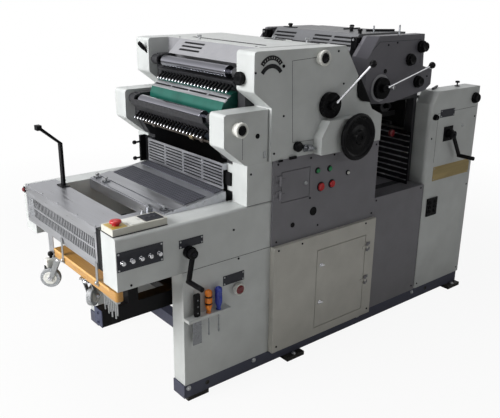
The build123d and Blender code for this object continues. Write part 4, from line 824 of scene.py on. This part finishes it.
# Ink plunger on the upper cover's lower edge: a black knob and a bright adjuster beside it, with a
# pair of black over-centre clips on the panel's top edge.
formed("plunger_knob", [
    (lathe, (603, head_face, 1063), outward, [(23, 0), (23, 14), (19, 19), (8, 21), (0, 20)], 28),
    (plate, (556, -24, 1010), (598, head_face, 1024), 3),
    (plate, (495, -22, 1008), (519, head_face, 1018), 2)], black_plastic)
adjuster = bmesh.new()
rod_y = -30
way = Vector((1, 0, -0.2)).normalized()
lathe(adjuster, (628, rod_y, 1058), way, rod(6, 22), 14)
fluted(adjuster, (650, rod_y, 1053), way, [(12, 0), (15, 3), (15, 26), (12, 30)], 18, 0.6, 0.8)
lathe(adjuster, (680, rod_y, 1047), way, [(5, 0), (5, 30), (9, 32), (9, 44), (5, 48)], 14)
plate(adjuster, (640, -26, 1034), (660, head_face, 1066), 2)
piece("plunger_adjuster", adjuster, ground_steel)

# First unit's hood: folded sheet in a mid grey enamel with slots pressed in its sloped front, screwed
# down; a lid sheet painted light for the light on its top, three black rails and three wing screws lie
# on top. Black boxes behind the slots paint the shade in them.
mid_enamel = enamel("mid_grey_stove_enamel", "#8f8f93", "#7c7c80", 0.42, peel=0.02, shine=0.5)
dress(mid_enamel, "unit1_hood")


def slope_box(bm, low, high, along, wide, deep, y0, y1):
    """A flat box let into a sloped face, some way up from the slope's lower edge."""
    sunk = 1.5
    run = hypot(high[0] - low[0], high[1] - low[1])
    ux, uz = (high[0] - low[0]) / run, (high[1] - low[1]) / run
    section = []
    for s, d in ((along, -sunk), (along + wide, -sunk), (along + wide, -deep), (along, -deep)):
        section.append((low[0] + ux * s - uz * d, low[1] + uz * s + ux * d))
    prism(bm, section, y0, y1 - y0)


lid_z, unit2_top = 1479, 1509
vent_first, vent_pitch, vent_w, vent_deep, vent_rows = 26, 22, 11, 11.5, 3
vent_shade_boxes = bmesh.new()
# Painted shade: black boxes let in behind the slots of both hoods, so that the slots show dark.
for low, high, groups in (
        ((400, 1415), (470, lid_z), ((466, 630),)),
        ((1080, 1430), (1145, unit2_top), ((160, 300), (318, 440), (577, 737)))):
    for y0, y1 in groups:
        for i in range(vent_rows):
            slope_box(vent_shade_boxes, low, high, vent_first + vent_pitch * i, vent_w, vent_deep, y0, y1)
piece("hood_vent_shade_boxes", vent_shade_boxes, black_enamel)
# Painted light: the lid sheet is light grey on the mid grey hood, standing in for the light on the hood's
# top.
formed("first_hood_lid", [(plate, (474, 103, 1478.6), (865, 797, 1480.2), 0.6)], light_enamel)
lid_rails = ((560, 170, 574, 720, 3), (840, 120, 852, 300, 5), (812, 330, 830, 470, 4))
lid_screws = ((500, 150), (500, 740), (846, 250), (846, 150), (820, 350), (820, 450))
formed("first_hood_rails", [
    *[(plate, (x0, y0, lid_z), (x1, y1, lid_z + high), 0.8) for x0, y0, x1, y1, high in lid_rails],
    *[(socket_screw, (x, y, lid_z), up, screw_r) for x, y in lid_screws]], oxide)
wings = bmesh.new()
for x, y in ((846, 200), (820, 400), (520, 600)):
    lathe(wings, (x, y, lid_z), up, [(7, 0), (7, 5), (4, 7), (4, 13)], 14)
    plate(wings, (x - 13, y - 1.5, lid_z + 10), (x + 13, y + 1.5, lid_z + 21), 1.2)
piece("first_hood_wing_screws", wings, zinc)

# Levers: chromed rods screwed into black hubs, with black balls, on black discs; the second disc
# stands in a mid grey ring beside two stop screws. They throw the ink and the impression on.
dress(black_plastic, "pivot_bosses")


def lever(name, x, z, face, reach, rise):
    """A hub in front of its disc, a rod that leans out and a ball."""
    boss, gap, hub_t, lean, ball_r = 24, 1, 18, 30, 17
    y = face - boss - gap
    hub = bmesh.new()
    lathe(hub, (x, y, z), outward, [(20, 1), (20, hub_t - 3), (17, hub_t), (9, hub_t), (8, hub_t - 2)], 28)
    lathe(hub, (x, y, z), inward, rod(9, gap + 10), 18)
    foot = Vector((x, y - hub_t / 2, z))
    end = Vector((x + reach, y - hub_t / 2 - lean, z + rise))
    way = (end - foot).normalized()
    ball = [(ball_r * sin(radians(a)), ball_r - ball_r * cos(radians(a))) for a in range(40, 181, 20)]
    lathe(hub, end - way * ball_r, way, [(8, -3), (9, 1)] + ball, 24)
    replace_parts(piece(f"{name}_hub_and_ball", hub, black_plastic, f"{name}_body"), name)
    stem = bmesh.new()
    stem_end = (end - foot).length - ball_r - 1
    lathe(stem, foot, way, [(7, 14), (7, 30), (5, 33), (5, stem_end)], 16)
    piece(f"{name}_rod", stem, chrome, f"{name}_body")


lever("lever_first", 785, 1227, head_face, 208, 173)
lever("lever_second", 1193, 1260, unit2_face, 315, 95)
formed("second_lever_ring", [
    (lathe, (1193, unit2_face, 1260), outward,
     [(52.5, 0), (66, 0), (66, 3), (62, 6), (54, 6), (52.5, 4), (52.5, 0)], 40)], mid_enamel)
formed("second_lever_stops", [
    (fluted, (x, unit2_face, z), outward,
     [(11, 0), (11, 14), (8, 17)], 14, 0.6, 0.6) for x, z in ((1258, 1262), (1284, 1256))], chrome)

# Control panel, access door and transfer boxes: sheet steel in dark grey enamel, screwed to the body;
# a zinc-plated latch is turned on the door.
dark_enamel = enamel("dark_grey_stove_enamel", "#737277", "#8f8f93", 0.36)
dress(dark_enamel, "control_panels", "access_door", "transfer_boxes")
formed("access_door_latch", [
    (lathe, (668, panel_face, 884), outward, [(9, 0), (9, 3), (6, 5), (6, 9)], 18)],
    zinc, "access_door_body")

# Panel buttons: moulded caps in blackened steel bezels, green to run, red to stop and one white; the
# caps are cupped for a finger.
green_plastic = moulded("green_moulded_plastic", "#1f7f4a", 0.25)
bezels = bmesh.new()
caps = {"green": bmesh.new(), "red": bmesh.new(), "white": bmesh.new()}
for x, z, r, colour in (
        (741, 930, 11, "green"), (819, 927, 11, "green"), (944, 887, 8, "white"),
        (766, 849, 19, "red"), (838, 851, 17, "red")):
    rim = r + 4
    lathe(
        bezels, (x, panel_face, z), outward,
        [(r, 0), (rim, 0), (rim, 3), (rim - 1.5, 5), (r + 0.5, 5), (r, 3), (r, 0)], 28)
    lathe(
        caps[colour], (x, panel_face, z), outward,
        [(r - 0.4, 0), (r - 0.4, 8), (r - 2, 10), (r * 0.5, 9.2), (0, 8.8)], 28)
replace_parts(piece("panel_button_bezels", bezels, oxide), "panel_buttons")
for colour, material in (("green", green_plastic), ("red", stop_plastic), ("white", white_lacquer)):
    piece(f"panel_button_caps_{colour}", caps[colour], material)

# Cabinets, their door's latches and the doors' hinges: sheet steel in a warmer grey enamel, painted pin
# hinges, and chromed quarter-turn locks with a flat grip on a turned rose.
cabinet_enamel = enamel("warm_grey_stove_enamel", "#b7b5ae", "#8d8b85", 0.36)
dress(cabinet_enamel, "cabinets", "cabinet_door")
dress(dark_enamel, "door_hinges")
cabinet_latches = bmesh.new()
for z in (458, 260):
    lathe(cabinet_latches, (775, cabinet_face, z), outward, [(11, 0), (11, 3), (7, 4), (7, 8), (0, 8.5)], 20)
    plate(cabinet_latches, (767, -42, z - 4), (790, -37, z + 4), 1.5)
piece("cabinet_door_latches", cabinet_latches, chrome, "cabinet_door_body")

# Handwheel: a dished wheel of black moulded plastic with a thick rim bead and a stepped hub, keyed
# on the drive shaft in front of its housing; turned rings show in its face.
wheel_x, wheel_back, wheel_z = 912, -79, 1078
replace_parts(formed("handwheel_dish", [
    (lathe, (wheel_x, wheel_back, wheel_z), outward,
     [(30, -10), (30, 4), (60, 5), (84, 2), (100, 0), (106, 3),
     (109, 10), (108.5, 16), (105, 21), (99, 24), (93, 23), (89, 18), (82, 13), (56, 14), (40, 17), (33, 22),
     (30, 29), (22, 30), (12, 30), (11, 26)], 64),
    (lathe, (wheel_x, wheel_back + 10, wheel_z), inward, rod(9, 30), 20)],
    black_plastic, "handwheel_body"), "handwheel")

# Second unit: folded hood in grey enamel, covers in charcoal, a black flat bar and two pins on top, and
# black latch blocks that hold the hood to the covers.
hood_enamel = enamel("grey_hood_enamel", "#67686b", "#5a5a5e", 0.42, peel=0.02, shine=0.5)
dress(hood_enamel, "unit2_hood")
cover_enamel = enamel("charcoal_stove_enamel", "#5b5a60", "#7c7c81", 0.38)
dress(cover_enamel, "unit2_heads")
dress(black_enamel, "hood_bar")
dress(ground_steel, "hood_pins")
latch_pegs = ((1187, 690), (1390, 426), (1250, 300), (1170, 170))
formed("second_hood_latches", [
    (plate, (1074, 104, 1440), (1122, 140, 1500), 4), (plate, (1074, 760, 1440), (1122, 796, 1500), 4),
    (plate, (1180, 640, unit2_top), (1194, 740, 1514), 1),
    (plate, (1330, 420, unit2_top), (1450, 432, 1516), 1),
    *[(lathe, (x, y, unit2_top), up, [(9, 0), (9, 12), (13, 14), (13, 20), (9, 23), (0, 24)], 18)
      for x, y in latch_pegs]], black_plastic)
formed("second_hood_latch_pins", [
    (lathe, (1074, y, 1486), ahead, [(6, 0), (6, 3), (4, 5)], 14) for y in (122, 778)], zinc)

# Buffer pad between the units: moulded in black plastic, bonded on the first unit's cover along its
# sloped edge.
buffer_thick, buffer_edge = 12, 3
buffer_outline = ((973, 1340), (967, 1300), (966, 1272), (976, 1241), (999, 1223), (1058, 1213))
buffer = bmesh.new()
front = prism(buffer, buffer_outline, head_face, -buffer_thick)
rim = [e for e in buffer.edges if all(v in front for v in e.verts)]
bmesh.ops.bevel(
    buffer, geom=rim, offset=buffer_edge / 1000, affect="EDGES", segments=2, profile=0.5, material=-1)
piece("unit_buffer_pad", buffer, black_plastic)

# Black knobs: fluted moulded caps on the second unit's covers, the delivery and the upper head's
# front, each with a stepped, cupped face.
knob_caps = bmesh.new()


def control_knob(x, z, r, length, face):
    """A broad fluted skirt with a smaller fluted cap on it, standing out from a cover."""
    fluted(
        knob_caps, (x, face, z), outward, [(r, 0), (r, length * 0.45), (r * 0.92, length * 0.5)],
        28, 0.6, 1.0)
    fluted(
        knob_caps, (x, face - length * 0.5, z), outward,
        [(r * 0.78, 0), (r * 0.78, length * 0.42), (r * 0.7, length * 0.5), (r * 0.4, length * 0.46)],
        24, 0.6, 1.0)


for x, z, length in ((1488, 1443, 36), (1406, 1383, 26), (1480, 1269, 30)):
    control_knob(x, z, 30, length, unit2_face)
control_knob(1963, 1146, 30, 26, 0)
control_knob(1612, 1075, 16, 20, 0)
fluted(
    knob_caps, (356, 66, 1367), ahead, [(24, 0), (24, 5), (28, 7), (28, 21), (24, 24), (10, 22)],
    28, 0.6, 1.0)
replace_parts(piece("fluted_control_knobs", knob_caps, black_plastic), "black_knobs")

# Transfer section: between the frames the delivery chain's bars, sprocket shafts and sheet guides show
# in the opening over the shelf, in black enamel before two black sheets that paint the opening's shade,
# with one red valve knob.
bar_long = 597
chain = bmesh.new()
for x, z, r in ((1250, 1120, 16), (1330, 1090, 10), (1420, 1130, 12), (1300, 1010, 10), (1440, 1040, 10)):
    lathe(chain, (x, inner_y, z), inward, rod(r, bar_long), 16)
for y in (170, 720):
    plate(chain, (1212, y, 1075), (1490, y + 8, 1100), 1.5)
    plate(chain, (1280, y, 960), (1292, y + 8, 1080), 1.5)
# Painted shade: two black sheets across the back of the opening make it show dark.
plate(chain, (1546, 150, 1002), (1549, 750, 1170), 0.8)
plate(chain, (1206, 736, 1000), (1545, 739, 1165), 0.8)
piece("delivery_chain_bars_and_shade_sheets", chain, black_enamel)
formed("delivery_chain_sprockets", [
    (fluted, (x, y, z), inward, [(16, 0), (r, 0), (r, 8), (16, 8), (16, 0)], 20, 1.2, 3)
    for x, z, r in ((1250, 1120, 46), (1420, 1130, 40)) for y in (182, 704)], cast_coat)
formed("delivery_valve_knob", [
    (fluted, (1450, 160, 985), outward, [(16, 0), (19, 4), (19, 16), (14, 20)], 16, 0.8, 1.0)],
    red_face)

# Delivery: a bare brass plate with rivets and a boss over it, a black socket panel with two columns of
# outlets, black guide rods under and over its top, and a thumb screw.
brass_sheet = bright_metal("lacquered_brass_sheet", "#a5946a", 0.4, (0.06, 1.0, 1.0))
plate_x0, plate_x1, plate_z0, plate_z1 = 1644, 1984, 715, 795
formed("delivery_brass_plate", [
    (plate, (plate_x0, -plate_t, plate_z0), (plate_x1, 0, plate_z1), 0.8)], brass_sheet)
formed("delivery_rivets", [
    (corner_rivets, plate_x0, plate_x1, plate_z0, plate_z1, 9),
    (lathe, (1873, 0, 1000), outward, [(8, 0), (8, 4), (5, 6)], 16)], zinc)
sockets = bmesh.new()
socket_face = -7
plate(sockets, (1616, socket_face, 513), (1708, 0, 618), 2)
for z in (540, 566, 592):
    for x in (1638, 1686):
        lathe(sockets, (x, socket_face, z), outward, [(7, 1), (8, 4), (10, 4), (10, 0)], 16)
piece("delivery_socket_panel", sockets, black_plastic)
guides = bmesh.new()
for y in (250, 470, 690):
    lathe(guides, (1640, y, 1136), (1, 0, 0), rod(7, 330), 14)
    for x in (1660, 1930):
        plate(guides, (x, y - 9, 1129), (x + 16, y + 9, 1145), 1.5)
lathe(guides, (1650, 60, 1215), (0.9, 0.4, 0), rod(6, 110), 14)
piece("delivery_guide_rods", guides, oxide)
formed("delivery_thumb_screw", [
    (lathe, (1875, 62, 1209), up, [(14, 0), (14, 4), (4, 5), (4, 20)], 16),
    (fluted, (1875, 62, 1229), up, [(11, 0), (12, 1), (12, 8), (9, 10)], 18, 0.5, 0.7)], oxide)

# Floor, light and camera: a pale floor that runs out to white, a broad window of light from the feeder's
# end, weak lamps above and on the operator side, a faint glow from all round, and the camera at the
# height of a standing person's eyes.
centre = (cad_box[0] + cad_box[1]) / 2
floor_size, fade_from, fade_to = 60.0, 2.2, 4.2
floor_mesh = bmesh.new()
bmesh.ops.create_grid(floor_mesh, x_segments=1, y_segments=1, size=floor_size / 2)
mesh = bpy.data.meshes.new("floor")
floor_mesh.to_mesh(mesh)
floor_mesh.free()
floor = bpy.data.objects.new("floor", mesh)
bpy.context.collection.objects.link(floor)
pale, tree, shader, place = surface("pale_floor")
wire(shader, {"Base Color": linear("#d2d2d0"), "Roughness": 0.9})
rays = add(tree, "LightPath")
reach = add(tree, "VectorMath", {"operation": "LENGTH"}, links={0: place})
whiter = add(
    tree, "MapRange",
    values={"From Min": fade_from, "From Max": fade_to, "To Min": 0.92, "To Max": 1.0},
    links={"Value": reach.outputs["Value"]})
seen = add(tree, "Math", {"operation": "MULTIPLY"}, links={0: rays.outputs["Is Camera Ray"], 1: whiter})
glow = add(tree, "Emission", values={"Color": linear("#ffffff"), "Strength": 1.0})
blend = add(tree, "MixShader", links={0: seen, 1: shader, 2: glow})
sink = next(n for n in tree.nodes if n.type == "OUTPUT_MATERIAL")
wire(sink, links={"Surface": blend})
mesh.materials.append(pale)

world = bpy.data.worlds.new("studio")
bpy.context.scene.world = world
world.use_nodes = True
tree = world.node_tree
tree.nodes.clear()
rays = add(tree, "LightPath")
shows = add(
    tree, "Math", {"operation": "MAXIMUM"},
    links={0: rays.outputs["Is Camera Ray"], 1: rays.outputs["Is Glossy Ray"]})
through = add(
    tree, "Math", {"operation": "MAXIMUM"}, links={0: shows, 1: rays.outputs["Is Transmission Ray"]})
strength = add(tree, "MapRange", values={"To Min": 0.2, "To Max": 1.0}, links={"Value": through})
look = add(tree, "TexCoord")
upwards = add(tree, "SeparateXYZ", links={"Vector": look.outputs["Generated"]})
ceiling = add(
    tree, "MapRange", values={"From Min": 0.05, "From Max": 0.75, "To Min": 1.0, "To Max": 0.3},
    links={"Value": upwards.outputs["Z"]})
level = add(tree, "Math", {"operation": "MULTIPLY"}, links={0: strength, 1: ceiling})
sky = add(tree, "Background", values={"Color": linear("#ffffff")}, links={"Strength": level})
add(tree, "OutputWorld", links={"Surface": sky})

lamp_size = 3.0
for name, offset, power in (
        ("window_light", (-5.0, 0.7, 2.0), 340), ("top_light", (-0.5, 0.8, 4.0), 80),
        ("side_light", (1.8, -4.2, 1.6), 22)):
    light = bpy.data.lights.new(name, "AREA")
    light.size = lamp_size
    light.energy = power
    lamp = bpy.data.objects.new(name, light)
    lamp.location = centre + Vector(offset)
    lamp.rotation_mode = "QUATERNION"
    lamp.rotation_quaternion = (centre - lamp.location).to_track_quat("-Z", "Y")
    bpy.context.collection.objects.link(lamp)

image_width, focal_pixels, sensor = 500, 654.6, 36.0
camera_data = bpy.data.cameras.new("camera")
camera_data.sensor_width = sensor
camera_data.lens = focal_pixels * sensor / image_width
camera = bpy.data.objects.new("camera", camera_data)
bpy.context.collection.objects.link(camera)
yaw, pitch, roll = 39.2, 19.0, 0.73
camera.matrix_world = (
    Matrix.Translation(at(-1319, -2052, 1733))
    @ Matrix.Rotation(radians(-yaw), 4, "Z")
    @ Matrix.Rotation(radians(90 - pitch), 4, "X")
    @ Matrix.Rotation(radians(roll), 4, "Z"))
bpy.context.scene.camera = camera
bpy.context.scene.view_settings.view_transform = "Standard"
